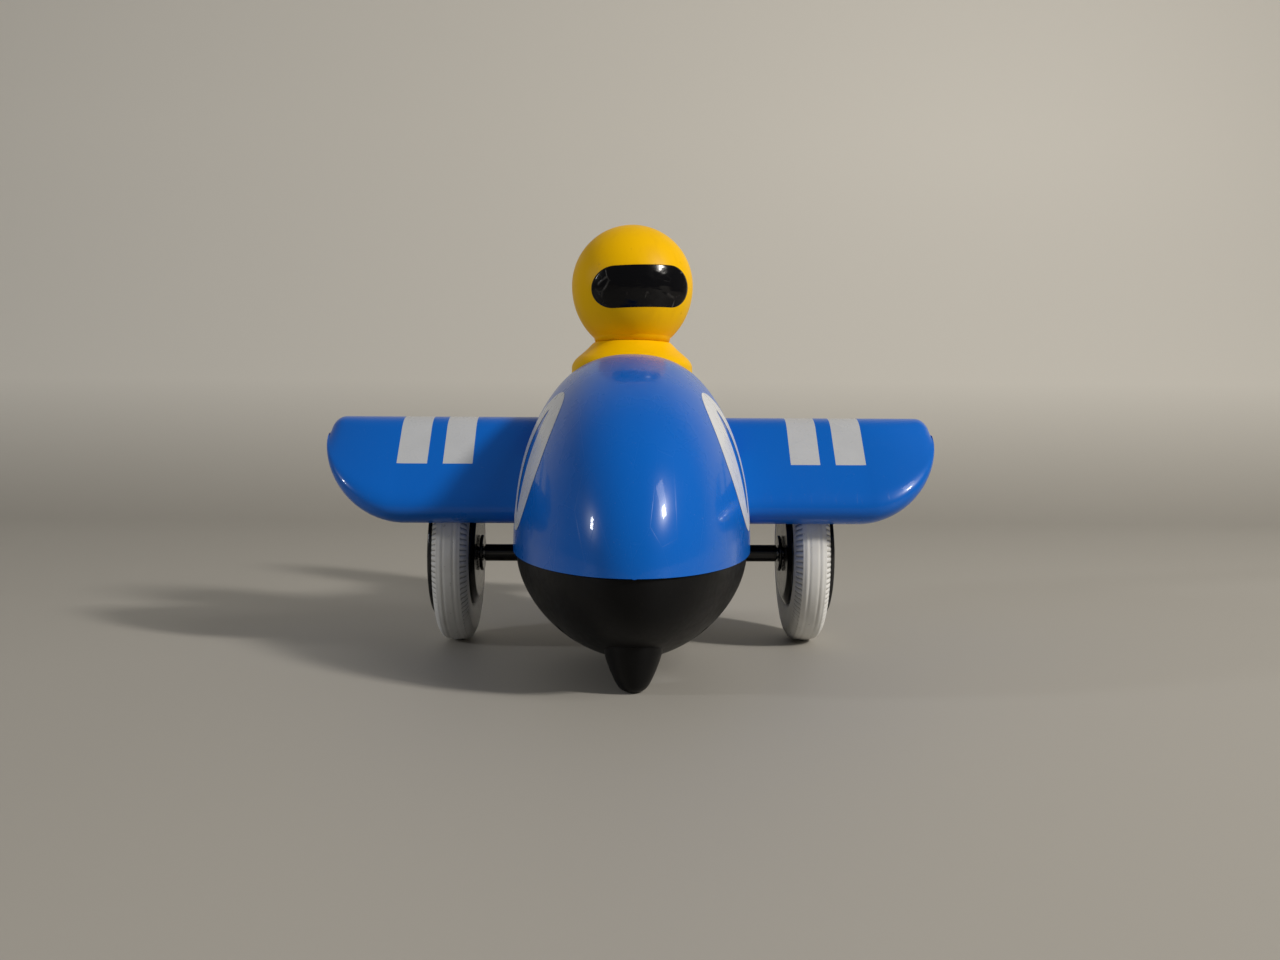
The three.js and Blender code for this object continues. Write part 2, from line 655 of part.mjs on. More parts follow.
// A collar fixed on the axle, whose slanted face teeth drive one way and slip the other.
function buildClutchCollar() {
  const [x0, x1] = [CLUTCH_GEAR_X[1] + GAP + 0.9, CLUTCH_GEAR_X[1] + 4.4];
  const collar = tubeX(AXLE_RADIUS + GAP, 4.4, x0, x1, 0, AXLE_Z, 18);
  const teeth = [];
  const count = 6;
  for (let i = 0; i < count; i++) {
    const shape = new THREE.Shape();
    const angle = (2 * Math.PI * i) / count;
    const point = (radius, turn) => [
      radius * Math.cos(angle + turn),
      AXLE_Z + radius * Math.sin(angle + turn),
    ];
    shape.moveTo(...point(2.2, 0));
    shape.lineTo(...point(4.2, 0));
    shape.lineTo(...point(4.2, 0.5));
    shape.lineTo(...point(2.2, 0.5));
    teeth.push(extrudeX(shape, x0 - 0.9, x0 + 0.5));
  }
  return unite([collar, ...teeth]);
}

// ---------------------------------------------------------------- gearbox

const GEARBOX = { plate: 1.8, halfWidth: 10.8, front: -22.4, back: 11.5, bottom: 13, top: 52 };
const CORNER_POSTS = [
  [-18.8, 17],
  [9, 24],
  [-18.8, 32],
  [13.4, 47.5],
];
const SPRING = { y: -18.3, radius: 3, wire: 0.45, coils: 7, bottom: 39.2, top: 70 };
const SHELF_Z = [36, 38.8];

function gearboxPlate() {
  const s = new THREE.Shape();
  const g = GEARBOX;
  s.moveTo(g.front, g.bottom);
  s.lineTo(-3, g.bottom);
  s.lineTo(g.back, g.bottom + 8);
  s.lineTo(g.back + 5, 40);
  s.lineTo(g.back + 5, g.top - 1);
  s.lineTo(g.back + 2, g.top);
  s.lineTo(-3, g.top);
  s.lineTo(-15, SHELF_Z[1]);
  s.lineTo(g.front, SHELF_Z[1]);
  return s;
}

function buildGearbox() {
  const { plate, halfWidth } = GEARBOX;
  const inside = halfWidth - plate;
  const axleHole = rodX(AXLE_RADIUS + 1.2, -20, 20, 0, AXLE_Z, 14);
  const shaftHole = rodX(SHAFT_RADIUS + GAP, -10.7, 10.7, SHAFT_Y, SHAFT_Z, 14);
  const shelf = box(-inside - 0.2, inside - GAP, GEARBOX.front, -15.1, ...SHELF_Z);
  const peg = rodZ(1.9, SHELF_Z[1] - 1, SHELF_Z[1] + 9, 0, SPRING.y, 12);
  const posts = CORNER_POSTS.map(([y, z]) => rodX(2.8, -inside - 0.2, inside - GAP, y, z, 10));
  const screwRooms = CORNER_POSTS.map(([y, z]) => rodX(SCREW.shank + GAP, 0, 20, y, z, 10));

  const right = unite([extrudeX(gearboxPlate(), -halfWidth, -inside), shelf, peg, ...posts]);
  addPiece("gearbox_right_half", cut(right, [axleHole, shaftHole, ...screwRooms]), BLACK);
  const left = extrudeX(gearboxPlate(), inside, halfWidth);
  addPiece("gearbox_left_half", cut(left, [axleHole, shaftHole, ...screwRooms]), BLACK);

  CORNER_POSTS.forEach(([y, z], i) => {
    const seat = halfWidth + GAP;
    const profile = [
      [0, seat - 9],
      [SCREW.shank, seat - 8],
      [SCREW.shank, seat],
      [SCREW.head, seat],
      [SCREW.head, seat + 0.9],
      [SCREW.head * 0.7, seat + 1.6],
      [0, seat + 1.6],
    ];
    addPiece(`gearbox_screw_${i + 1}`, turnX(profile, 8, y, z), STEEL);
  });
}

// ---------------------------------------------------------------- plunger and spring

const FLANGE = { radius: 13, bottom: 70.4, top: 73.2 };
const STEM = { x: [-6.6, -1.2], front: -13.4, bottom: SHAFT_Z - 4.6 };

// The rack's outline: teeth along the stem, in step with the pinion.
function rackShape() {
  const pitch = Math.PI * GEAR_MODULE;
  const slope = Math.tan(PRESSURE_ANGLE);
  const half = pitch / 4 - BACKLASH / 2;
  const crest = RACK_PITCH_Y + TOOTH_HEIGHT;
  const valley = RACK_PITCH_Y - TOOTH_DEPTH;
  const points = [new THREE.Vector2(STEM.front, STEM.bottom), new THREE.Vector2(valley, STEM.bottom)];
  const count = 9;
  for (let i = 0; i < count; i++) {
    const z = SHAFT_Z + (i - 0.5) * pitch;
    points.push(new THREE.Vector2(valley, z - half - TOOTH_DEPTH * slope));
    points.push(new THREE.Vector2(crest, z - half + TOOTH_HEIGHT * slope));
    points.push(new THREE.Vector2(crest, z + half - TOOTH_HEIGHT * slope));
    points.push(new THREE.Vector2(valley, z + half + TOOTH_DEPTH * slope));
  }
  points.push(new THREE.Vector2(valley, FLANGE.bottom + 1));
  points.push(new THREE.Vector2(STEM.front, FLANGE.bottom + 1));
  return new THREE.Shape(points);
}

function buildPlunger() {
  const stem = extrudeX(rackShape(), ...STEM.x);
  const flange = rodZ(FLANGE.radius, FLANGE.bottom, FLANGE.top, 0, PILOT_Y, 32);
  const web = box(-1.4, 6, STEM.front, -8, FLANGE.bottom - 2.9, FLANGE.bottom + 1);
  const hole = rodZ(SCREW.shank + GAP, 50, 80, 0, PILOT_Y, 16);
  const headRoom = rodZ(SCREW.head + GAP, 50, FLANGE.bottom, 0, PILOT_Y, 16);
  addPiece("plunger_rack", cut(unite([stem, flange, web]), [hole, headRoom]), GEAR_WHITE);
}

// An open coil between the gearbox shelf and the plunger's flange.
class Helix extends THREE.Curve {
  getPoint(t) {
    const { radius, coils, bottom, top, wire, y } = SPRING;
    const angle = 2 * Math.PI * coils * t;
    const z = bottom + wire + (top - bottom - 2 * wire) * t;
    return new THREE.Vector3(radius * Math.cos(angle), y + radius * Math.sin(angle), z);
  }
}

function buildSpring() {
  const section = new THREE.Shape();
  section.absarc(0, 0, SPRING.wire, 0, 2 * Math.PI);
  const options = { steps: SPRING.coils * 9, extrudePath: new Helix(), curveSegments: 3 };
  addPiece("return_spring", solid(new THREE.ExtrudeGeometry(section, options)), STEEL);
}

// ---------------------------------------------------------------- pilot

const NECK = { radius: 11.3, z: 91.6 };
const COLLAR = { edgeZ: 86, bottomZ: FLANGE.top + GAP };
const PILOT_SCREW_TIP_Z = 77.5;

function buildPilot() {
  const pilot = new THREE.Group();
  pilot.position.set(0, PILOT_Y, 0);
  pilot.rotation.z = PILOT_TURN;
  airplane.add(pilot);

  const collar = [
    [0, COLLAR.bottomZ],
    [COLLAR_RADIUS - 0.8, COLLAR.bottomZ],
    [COLLAR_RADIUS, COLLAR.bottomZ + 0.8],
    [COLLAR_RADIUS, COLLAR.edgeZ - 1.4],
    [COLLAR_RADIUS - 0.5, COLLAR.edgeZ - 0.2],
    [COLLAR_RADIUS - 1.7, COLLAR.edgeZ + 0.7],
    [NECK.radius + 0.6, NECK.z - 0.8],
    [NECK.radius - 0.4, NECK.z],
    [NECK.radius - 0.6, NECK.z + 0.6],
    [0, NECK.z + 0.6],
  ];
  const dowelHole = rodZ(3 + GAP, HEAD_Z - 30, HEAD_Z - 8, 0, 0, 12);
  const screwHole = rodZ(SCREW.shank + GAP, 60, 78, 0, 0, 10);
  const cutters = [headBall(HEAD_RADIUS + GAP), dowelHole, screwHole];
  addPiece("pilot_body", cut(turnZ(collar, 28), cutters), YELLOW, pilot);
  addPiece("pilot_head", headBall(HEAD_RADIUS).subtract(dowelHole), YELLOW, pilot);
  addPiece("pilot_dowel", rodZ(3, HEAD_Z - 29.5, HEAD_Z - 8.4, 0, 0, 12), WOOD, pilot);
  addPiece("visor_sticker", buildVisor(), VISOR_BLACK, pilot);
  addPiece("pilot_screw", makeScrewZ([0, 0], FLANGE.bottom, PILOT_SCREW_TIP_Z), STEEL, pilot);
}

// A ball about the middle of the head.
function headBall(radius) {
  const ball = new THREE.SphereGeometry(radius, 24, 16).rotateX(Math.PI / 2);
  return solid(ball.translate(0, 0, HEAD_Z));
}

// A thin sticker with round ends, wrapped round the front of the head.
function buildVisor() {
  const halfWide = 14.3;
  const halfHigh = 6;
  const outline = new THREE.Shape();
  outline.moveTo(-halfWide + halfHigh, -halfHigh);
  outline.lineTo(halfWide - halfHigh, -halfHigh);
  outline.absarc(halfWide - halfHigh, 0, halfHigh, -Math.PI / 2, Math.PI / 2, false);
  outline.absarc(-halfWide + halfHigh, 0, halfHigh, Math.PI / 2, 1.5 * Math.PI, false);
  const slab = new THREE.ExtrudeGeometry(outline, { depth: 20, bevelEnabled: false, curveSegments: 6 });
  const stamp = solid(slab.rotateX(Math.PI / 2).translate(0, 0, HEAD_Z - 0.4));
  return stamp.intersect(headBall(HEAD_RADIUS + 0.45)).subtract(headBall(HEAD_RADIUS + 0.12));
}

function buildCockpitSleeve() {
  const inner = COLLAR_RADIUS + 0.6;
  const outer = COCKPIT_RADIUS - GAP;
  const [low, high] = [58.5, 77.5];
  const profile = [[inner, low], [outer, low], [outer, high], [inner, high], [inner, low]];
  addPiece("cockpit_sleeve", turnZ(profile, 32, 0, PILOT_Y), BLACK);
}

// ---------------------------------------------------------------- assembly

buildFuselage();
buildSkid();
buildWings();
buildTail();
buildWheels();
buildGears();
buildGearbox();
buildPlunger();
buildSpring();
buildPilot();
buildCockpitSleeve();

airplane.position.y = (NOSE_REACH - TAIL_REACH) / 2;

export default airplane;
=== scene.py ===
# Looks for the toy airplane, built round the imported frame. Shapes are drawn in millimetres from the axle:
# Y is 0 at the axle, Z is 0 on the floor, the nose points to -Y and +X is the airplane's left-hand side.
import math

import bmesh
import bpy
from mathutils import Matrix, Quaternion, Vector, noise


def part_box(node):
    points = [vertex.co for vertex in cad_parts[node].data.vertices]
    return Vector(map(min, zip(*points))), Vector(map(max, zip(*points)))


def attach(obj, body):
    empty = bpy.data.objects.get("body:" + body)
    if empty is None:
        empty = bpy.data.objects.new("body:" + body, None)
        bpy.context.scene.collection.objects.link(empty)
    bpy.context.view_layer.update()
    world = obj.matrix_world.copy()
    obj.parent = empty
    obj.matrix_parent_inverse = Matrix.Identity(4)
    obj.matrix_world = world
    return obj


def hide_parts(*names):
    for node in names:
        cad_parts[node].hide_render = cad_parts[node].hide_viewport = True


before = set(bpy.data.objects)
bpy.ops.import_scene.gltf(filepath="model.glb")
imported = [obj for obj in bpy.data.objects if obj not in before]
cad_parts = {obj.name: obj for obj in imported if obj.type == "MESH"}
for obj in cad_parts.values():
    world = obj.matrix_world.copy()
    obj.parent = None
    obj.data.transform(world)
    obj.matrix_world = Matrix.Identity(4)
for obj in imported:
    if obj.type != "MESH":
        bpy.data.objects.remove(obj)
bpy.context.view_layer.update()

MM = 0.001
SCENE = bpy.context.scene


def box_mm(node):
    """Lowest and highest corner of a CAD node, in millimetres."""
    low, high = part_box(node)
    return low / MM, high / MM


# ---------------------------------------------------------------- sizes

GAP = 0.3  # left between neighbouring pieces

axle_low, axle_high = box_mm("axle")
AXLE_Y = (axle_low.y + axle_high.y) / 2
AXLE_Z = (axle_low.z + axle_high.z) / 2
AXLE_BORE = (axle_high.z - axle_low.z) / 2 + GAP

shell_low, shell_high = box_mm("fuselage_upper_shell")
NOSE_REACH = AXLE_Y - shell_low.y
TAIL_REACH = shell_high.y - AXLE_Y

SHELL_WALL = 2.2
BODY_HALF_WIDTH = 34.7
BODY_TOP_Z = 87.6  # at the widest station
BODY_FULLNESS = 2.2  # power of the outline above the seam: 2 is an ellipse, and more is squarer
BOWL_FULLNESS = 1.9  # the same below the seam
NOSE_FULLNESS = 1.85  # the same for the nose seen from above
CHIN_FULLNESS = 2.4  # the same for the underside of the nose seen from the side
BELLY_Z = 1.9
SEAM_Z = 29.9
BOWL_STEP = 0.9  # how far the lower shell stands in from the upper one
WIDEST_Y = -10
BELLY_Y = -24  # where the belly is lowest
TAIL = {"width": 8, "top": 57.5, "middle": 50, "bottom": 43.5, "rounding": 10}
COCKPIT_RADIUS = 20.2
SLEEVE_BORE = 18.5  # radius of the hole that the pilot slides in
SHOULDER = math.radians(25)  # skin angle of the line between the shell's top and its flanks

head_low, head_high = box_mm("pilot_head")
HEAD_RADIUS = (head_high.x - head_low.x) / 2
HEAD_SINK = 0.5  # how much lower the ball sits than its CAD node
HEAD_Z = head_high.z - HEAD_RADIUS - HEAD_SINK
HEAD_STRETCH = 1.1  # how much longer the ball's lower half is than its upper half
PILOT_Y = (head_low.y + head_high.y) / 2 - AXLE_Y
PILOT_TURN = math.radians(10.5)
VISOR_Z = -2.0  # height of the visor's middle above the middle of the ball
VISOR_TILT = math.radians(2.2)
VISOR_LIFT = 0.32  # the film's outer face above the ball

wing_low, wing_high = box_mm("left_wing")
WING_HALF_SPAN = wing_high.x
WING_FRONT = -33.3
WING_BACK = 27.6
WING_LOW = wing_low.z
WING_PEAK = 68.3
WING_ROOT = 24  # distance from the airplane's middle to the wing's inner end
WING_CORNER = 22  # rounding of the tip seen from above
WING_TIP = {"across": 25, "rise": 25.4, "high": 4.6}  # rounding of the tip seen from the front

tyre_low, tyre_high = box_mm("left_tyre")
WHEEL_X = (tyre_low.x + tyre_high.x) / 2
TYRE_HALF = (tyre_high.x - tyre_low.x) / 2
WHEEL_RADIUS = (tyre_high.z - tyre_low.z) / 2
TYRE_BORE = 15.9  # radius


# ---------------------------------------------------------------- mesh tools


def make_piece(name, shape, material, body, replaced=(), paint=None):
    """A smooth mesh from (points, faces), riding on its body.

    paint is a second material and a test that says which points take it.
    """
    points, faces = shape
    mesh = bpy.data.meshes.new(name)
    mesh.from_pydata([(x * MM, (y + AXLE_Y) * MM, z * MM) for x, y, z in points], [], faces)
    bm = bmesh.new()
    bm.from_mesh(mesh)
    bmesh.ops.remove_doubles(bm, verts=bm.verts, dist=0.002 * MM)
    bmesh.ops.dissolve_degenerate(bm, edges=bm.edges, dist=0.001 * MM)
    bmesh.ops.recalc_face_normals(bm, faces=bm.faces)
    for face in bm.faces:
        face.smooth = True
        if paint:
            x, y, z = face.calc_center_median() / MM
            face.material_index = 1 if paint[1](x, y - AXLE_Y, z) else 0
    bm.to_mesh(mesh)
    bm.free()
    mesh.materials.append(material)
    if paint:
        mesh.materials.append(paint[0])
    obj = bpy.data.objects.new(name, mesh)
    SCENE.collection.objects.link(obj)
    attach(obj, body)
    if replaced:
        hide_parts(*replaced)
    return obj


def add_bevel(obj, width, segments=3, angle=40):
    bevel = obj.modifiers.new("edges", "BEVEL")
    bevel.width = width * MM
    bevel.segments = segments
    bevel.limit_method = "ANGLE"
    bevel.angle_limit = math.radians(angle)
    even_normals(obj)
    return obj


def even_normals(obj):
    obj.modifiers.new("even_normals", "WEIGHTED_NORMAL")
    return obj


def add_wall(obj, thickness):
    wall = obj.modifiers.new("wall", "SOLIDIFY")
    wall.thickness = thickness * MM
    wall.offset = -1
    return obj


def bake(obj):
    """Makes what the modifiers do to a mesh permanent."""
    evaluated = obj.evaluated_get(bpy.context.evaluated_depsgraph_get())
    mesh = bpy.data.meshes.new_from_object(evaluated)
    obj.modifiers.clear()
    obj.data = mesh


def slab(outline, place, thickness):
    """An outline given thickness, as (points, faces)."""
    count = len(outline)
    points = [place(a, b, side * thickness / 2) for side in (-1, 1) for a, b in outline]
    faces = [(i, (i + 1) % count, count + (i + 1) % count, count + i) for i in range(count)]
    faces += [tuple(range(count)), tuple(range(count, 2 * count))]
    return points, faces


def grid_faces(rows, columns, around=False):
    """Quads over points stored row by row; around joins the last column to the first."""
    faces = []
    for i in range(rows - 1):
        for j in range(columns if around else columns - 1):
            k = (j + 1) % columns
            faces.append((i * columns + j, i * columns + k, (i + 1) * columns + k, (i + 1) * columns + j))
    return faces


def grid(rows, around=False):
    return [p for row in rows for p in row], grid_faces(len(rows), len(rows[0]), around)


def join(*shapes):
    points, faces = [], []
    for more_points, more_faces in shapes:
        first = len(points)
        points += more_points
        faces += [tuple(first + i for i in face) for face in more_faces]
    return points, faces


def mirrored(shape):
    points, faces = shape
    return [(-x, y, z) for x, y, z in points], [tuple(reversed(face)) for face in faces]


def both_sides(shape):
    return join(shape, mirrored(shape))


def round_corners(profile, radius, steps=4, closed=False):
    """A profile of 2-D points with each corner eased by a short curve."""
    eased = []
    count = len(profile)
    for i, here in enumerate(map(Vector, profile)):
        if not closed and i in (0, count - 1):
            eased.append(tuple(here))
            continue
        before, after = Vector(profile[i - 1]), Vector(profile[(i + 1) % count])
        start = here + (before - here).normalized() * min(radius, (before - here).length * 0.45)
        end = here + (after - here).normalized() * min(radius, (after - here).length * 0.45)
        for k in range(steps + 1):
            t = k / steps
            eased.append(tuple(start * (1 - t) ** 2 + here * 2 * t * (1 - t) + end * t * t))
    return eased


def lathe(profile, segments, place, closed=False):
    """A profile of (radius, along) points turned about an axis; place puts (u, v, along) in the airplane."""
    rows = []
    for radius, along in profile + profile[:1] if closed else profile:
        turns = [2 * math.pi * i / segments for i in range(segments)]
        rows.append([place(radius * math.cos(a), radius * math.sin(a), along) for a in turns])
    return grid(rows, around=True)


def about_axle(side):
    return lambda u, v, along: (side * along, u, AXLE_Z + v)


def about_pilot(u, v, along):
    return (u, PILOT_Y + v, along)


def bezier(points, steps):
    """Points along a quadratic or cubic curve, without its last point."""
    made = []
    for i in range(steps):
        level = [Vector(p) for p in points]
        while len(level) > 1:
            level = [a.lerp(b, i / steps) for a, b in zip(level, level[1:])]
        made.append(tuple(level[0]))
    return made


# ---------------------------------------------------------------- materials


class Paint:
    """Short ways to build one procedural material on a Principled shader."""

    def __init__(self, name, roughness=0.4, metallic=0.0, **constants):
        self.material = bpy.data.materials.new(name)
        self.material.use_nodes = True
        self.tree = self.material.node_tree
        self.shader = self.tree.nodes["Principled BSDF"]
        self.shader.inputs["Roughness"].default_value = roughness
        self.shader.inputs["Metallic"].default_value = metallic
        for socket, value in constants.items():
            self.shader.inputs[socket.replace("_", " ")].default_value = value
        self.place = self.tree.nodes.new("ShaderNodeTexCoord").outputs["Object"]
        self.normal = None

    def node(self, kind, inputs=None, **settings):
        node = self.tree.nodes.new("ShaderNode" + kind)
        for key, value in settings.items():
            setattr(node, key, value)
        for socket, value in (inputs or {}).items():
            if isinstance(value, bpy.types.NodeSocket):
                self.tree.links.new(value, node.inputs[socket])
            else:
                node.inputs[socket].default_value = value
        return node

    def stretched(self, scale):
        return self.node("Mapping", {"Vector": self.place, "Scale": scale}).outputs["Vector"]

    def noise(self, scale, detail=2.0, stretch=None, distortion=0.0):
        place = self.stretched(stretch) if stretch else self.place
        inputs = {"Vector": place, "Scale": scale, "Detail": detail, "Distortion": distortion}
        return self.node("TexNoise", inputs).outputs["Fac"]

    def cracks(self, scale, stretch=None):
        place = self.stretched(stretch) if stretch else self.place
        inputs = {"Vector": place, "Scale": scale}
        return self.node("TexVoronoi", inputs, feature="DISTANCE_TO_EDGE").outputs["Distance"]

    def spread(self, value, low, high, to_low=0.0, to_high=1.0):
        inputs = {"Value": value, "From Min": low, "From Max": high, "To Min": to_low, "To Max": to_high}
        return self.node("MapRange", inputs).outputs["Result"]

    def sum(self, a, b):
        return self.node("Math", {0: a, 1: b}, operation="ADD").outputs["Value"]

    def product(self, a, b):
        return self.node("Math", {0: a, 1: b}, operation="MULTIPLY").outputs["Value"]

    def blend(self, factor, a, b):
        node = self.node("Mix", {0: factor}, data_type="RGBA")
        for socket, value in ((6, a), (7, b)):
            if isinstance(value, bpy.types.NodeSocket):
                self.tree.links.new(value, node.inputs[socket])
            else:
                node.inputs[socket].default_value = (*value, 1)
        return node.outputs[2]

    def bump(self, height, distance, strength=1.0):
        """Adds a layer of relief; distance is in millimetres."""
        inputs = {"Height": height, "Distance": distance * MM, "Strength": strength}
        if self.normal:
            inputs["Normal"] = self.normal
        self.normal = self.node("Bump", inputs).outputs["Normal"]

    def done(self, colour, roughness=None):
        self.tree.links.new(colour, self.shader.inputs["Base Color"])
        if roughness:
            self.tree.links.new(roughness, self.shader.inputs["Roughness"])
        if self.normal:
            self.tree.links.new(self.normal, self.shader.inputs["Normal"])
        return self.material


def gloss_plastic(name, colour, deep, gloss=0.27):
    """Moulded glossy plastic: slow waves in the surface, hairline scratches, and a little dust."""
    p = Paint(name, IOR=1.5, Specular_IOR_Level=0.22, Coat_Weight=0.3, Coat_Roughness=0.05, Coat_IOR=1.5)
    tint = p.noise(18, 2)
    dust = p.spread(p.noise(1900, 2), 0.70, 0.76)
    scratch = p.spread(p.cracks(160, (1, 0.12, 0.3)), 0.006, 0.0)
    base = p.blend(tint, colour, deep)
    base = p.blend(p.product(dust, 0.07), base, (0.45, 0.47, 0.5))
    rough = p.sum(p.spread(p.noise(70, 3), 0.3, 0.7, gloss - 0.03, gloss + 0.04), p.product(dust, 0.12))
    rough = p.sum(rough, p.product(scratch, 0.08))
    p.bump(p.noise(55, 1), 0.06)
    p.bump(scratch, -0.01)
    return p.done(base, rough)


def printed_white(name, thick, thin):
    """Pad-printed ink: nearly smooth, with faint thin places and a fine grain."""
    p = Paint(name, IOR=1.48)
    base = p.blend(p.spread(p.noise(140, 4), 0.35, 0.75), thick, thin)
    p.bump(p.noise(900, 2), 0.012)
    p.bump(p.noise(55, 1), 0.05)
    return p.done(base, p.spread(p.noise(300, 2), 0.3, 0.7, 0.24, 0.34))


def satin_black(name, roughness=0.36, shade=0.0022, shine=0.14):
    """Spark-textured black plastic with rubbed patches and dust."""
    p = Paint(name, IOR=1.5, Specular_IOR_Level=shine)
    paler_marks = p.spread(p.noise(28, 4), 0.35, 0.7)
    dust = p.spread(p.noise(1400, 3), 0.66, 0.78)
    base = p.blend(paler_marks, (shade, shade, shade * 1.1), (shade * 1.9, shade * 1.9, shade * 2.1))
    base = p.blend(p.product(dust, 0.025), base, (0.22, 0.22, 0.22))
    p.bump(p.noise(2600, 2), 0.02)
    p.bump(p.noise(60, 1), 0.05)
    rubbed = p.product(paler_marks, 0.10)
    grain = p.spread(p.noise(500, 2), 0.3, 0.7, roughness - 0.04, roughness + 0.04)
    return p.done(base, p.sum(rubbed, grain))


def painted_wood(name):
    """Yellow satin paint over turned wood: grain just shows in the relief, with small dents and rubs."""
    p = Paint(name, IOR=1.48, Specular_IOR_Level=0.12)
    grain = p.noise(240, 4, (1, 1, 0.07))
    tint = p.noise(30, 3)
    mark = p.spread(p.noise(420, 3), 0.68, 0.76)
    base = p.blend(tint, (1.0, 0.575, 0.0), (0.96, 0.525, 0.0))
    base = p.blend(p.spread(grain, 0.55, 0.8, 0, 0.25), base, (0.72, 0.33, 0.004))
    base = p.blend(p.product(mark, 0.35), base, (0.55, 0.26, 0.01))
    p.bump(grain, 0.035)
    p.bump(p.noise(120, 2), 0.06)
    p.bump(mark, -0.03)
    return p.done(base, p.spread(p.noise(160, 3), 0.3, 0.7, 0.34, 0.48))


def bare_wood(name):
    p = Paint(name)
    grain = p.noise(500, 5, (0.06, 1, 1), 0.4)
    pores = p.spread(p.noise(2200, 2, (0.05, 1, 1)), 0.62, 0.75)
    base = p.blend(grain, (0.62, 0.40, 0.20), (0.42, 0.24, 0.11))
    base = p.blend(p.product(pores, 0.5), base, (0.20, 0.10, 0.04))
    p.bump(grain, 0.05)
    return p.done(base, p.spread(grain, 0.3, 0.7, 0.55, 0.75))


def visor_film(name):
    """Gloss black film, wrinkled where it went round the ball, paler along its creases."""
    p = Paint(name, IOR=1.5, Specular_IOR_Level=0.22)
    crease = p.spread(p.cracks(230, (1, 1, 0.6)), 0.045, 0.0)
    broken = p.product(crease, p.spread(p.noise(170, 3), 0.56, 0.68))
    fine = p.product(p.spread(p.cracks(520, (0.8, 1, 1)), 0.035, 0.0), p.spread(p.noise(120, 2), 0.58, 0.70))
    # a paler colour along the creases
    paler_marks = p.sum(p.product(broken, 0.22), p.product(fine, 0.18))
    base = p.blend(paler_marks, (0.002, 0.002, 0.003), (0.42, 0.40, 0.36))
    p.bump(broken, 0.05)
    p.bump(p.noise(190, 3), 0.09)
    return p.done(base, p.spread(paler_marks, 0, 0.4, 0.17, 0.4))


def white_rubber(name, plain_tone=(0.78, 0.78, 0.76), grimy_tone=(0.60, 0.59, 0.56)):
    """Slightly translucent white rubber, dulled by handling, greyer in patches. The notches take darker
    tones, which are painted shade.
    """
    p = Paint(name, IOR=1.45, Subsurface_Weight=0.12, Subsurface_Scale=0.003)
    p.shader.inputs["Subsurface Radius"].default_value = (1.0, 0.95, 0.85)
    grime = p.spread(p.noise(60, 5), 0.45, 0.8)
    speck = p.spread(p.noise(900, 2), 0.68, 0.74)
    base = p.blend(grime, plain_tone, grimy_tone)
    base = p.blend(p.product(speck, 0.4), base, (0.25, 0.24, 0.22))
    p.bump(p.noise(1500, 3), 0.02)
    return p.done(base, p.spread(p.noise(90, 3), 0.3, 0.7, 0.42, 0.6))


def gear_plastic(name):
    p = Paint(name, IOR=1.5, Subsurface_Weight=0.15, Subsurface_Scale=0.002)
    flow = p.noise(130, 3, (1, 1, 0.4))
    base = p.blend(flow, (0.72, 0.70, 0.63), (0.64, 0.61, 0.53))
    p.bump(p.noise(1700, 2), 0.01)
    return p.done(base, p.spread(flow, 0.3, 0.7, 0.32, 0.46))


def bright_steel(name, stretch):
    """Zinc-bright steel with fine marks drawn along one direction."""
    p = Paint(name, metallic=1.0)
    marks = p.noise(1500, 3, stretch)
    stain = p.noise(90, 3)
    base = p.blend(stain, (0.60, 0.61, 0.63), (0.47, 0.47, 0.48))
    p.bump(marks, 0.006)
    return p.done(base, p.spread(marks, 0.3, 0.7, 0.22, 0.38))


BLUE = gloss_plastic("blue_gloss_plastic", (0.0, 0.142, 0.64), (0.0, 0.126, 0.58))
WING_BLUE = gloss_plastic("blue_wing_plastic", (0.0, 0.140, 0.63), (0.0, 0.124, 0.57), 0.3)
PRINT = printed_white("white_print", (0.56, 0.58, 0.61), (0.53, 0.55, 0.58))
# the figures' ink is the white print painted lighter: painted light, for the light falling on the flanks
NUMBER_PRINT_PAINTED_LIGHT = printed_white("white_print_painted_lighter_for_numbers", (0.72, 0.74, 0.77), (0.69, 0.71, 0.74))
BLACK = satin_black("black_satin_plastic")
HUB_BLACK = satin_black("black_hub_plastic", 0.16, 0.004, 0.5)
YELLOW = painted_wood("yellow_painted_wood")
WOOD = bare_wood("bare_beech")
VISOR = visor_film("visor_film")
RUBBER = white_rubber("white_rubber")
# a darker copy of the white rubber: painted shade in the notches
NOTCH_SHADE_RUBBER = white_rubber("white_rubber_painted_shade_in_notches", (0.40, 0.40, 0.38), (0.30, 0.29, 0.27))
GEAR = gear_plastic("gear_plastic")
STEEL = bright_steel("steel_drawn_along", (0.04, 1, 1))
SPRING_STEEL = bright_steel("steel_wire", (1, 1, 0.2))


# ---------------------------------------------------------------- body shape


def fade(y, start, end):
    """1 at the start of a stretch and 0 at its end, level at both."""
    return (1 + math.cos(math.pi * (y - start) / (end - start))) / 2


def round_off(t, power):
    """1 at t = 0, falling to 0 at t = 1 along an arc: 2 is an ellipse, and more is squarer."""
    return max(0.0, 1 - abs(t) ** power) ** (1 / power)


def belly_behind(y):
    """Height of the underside from the belly's lowest point back to the tail."""
    return TAIL["bottom"] + (BELLY_Z - TAIL["bottom"]) * fade(y, BELLY_Y, TAIL_REACH)


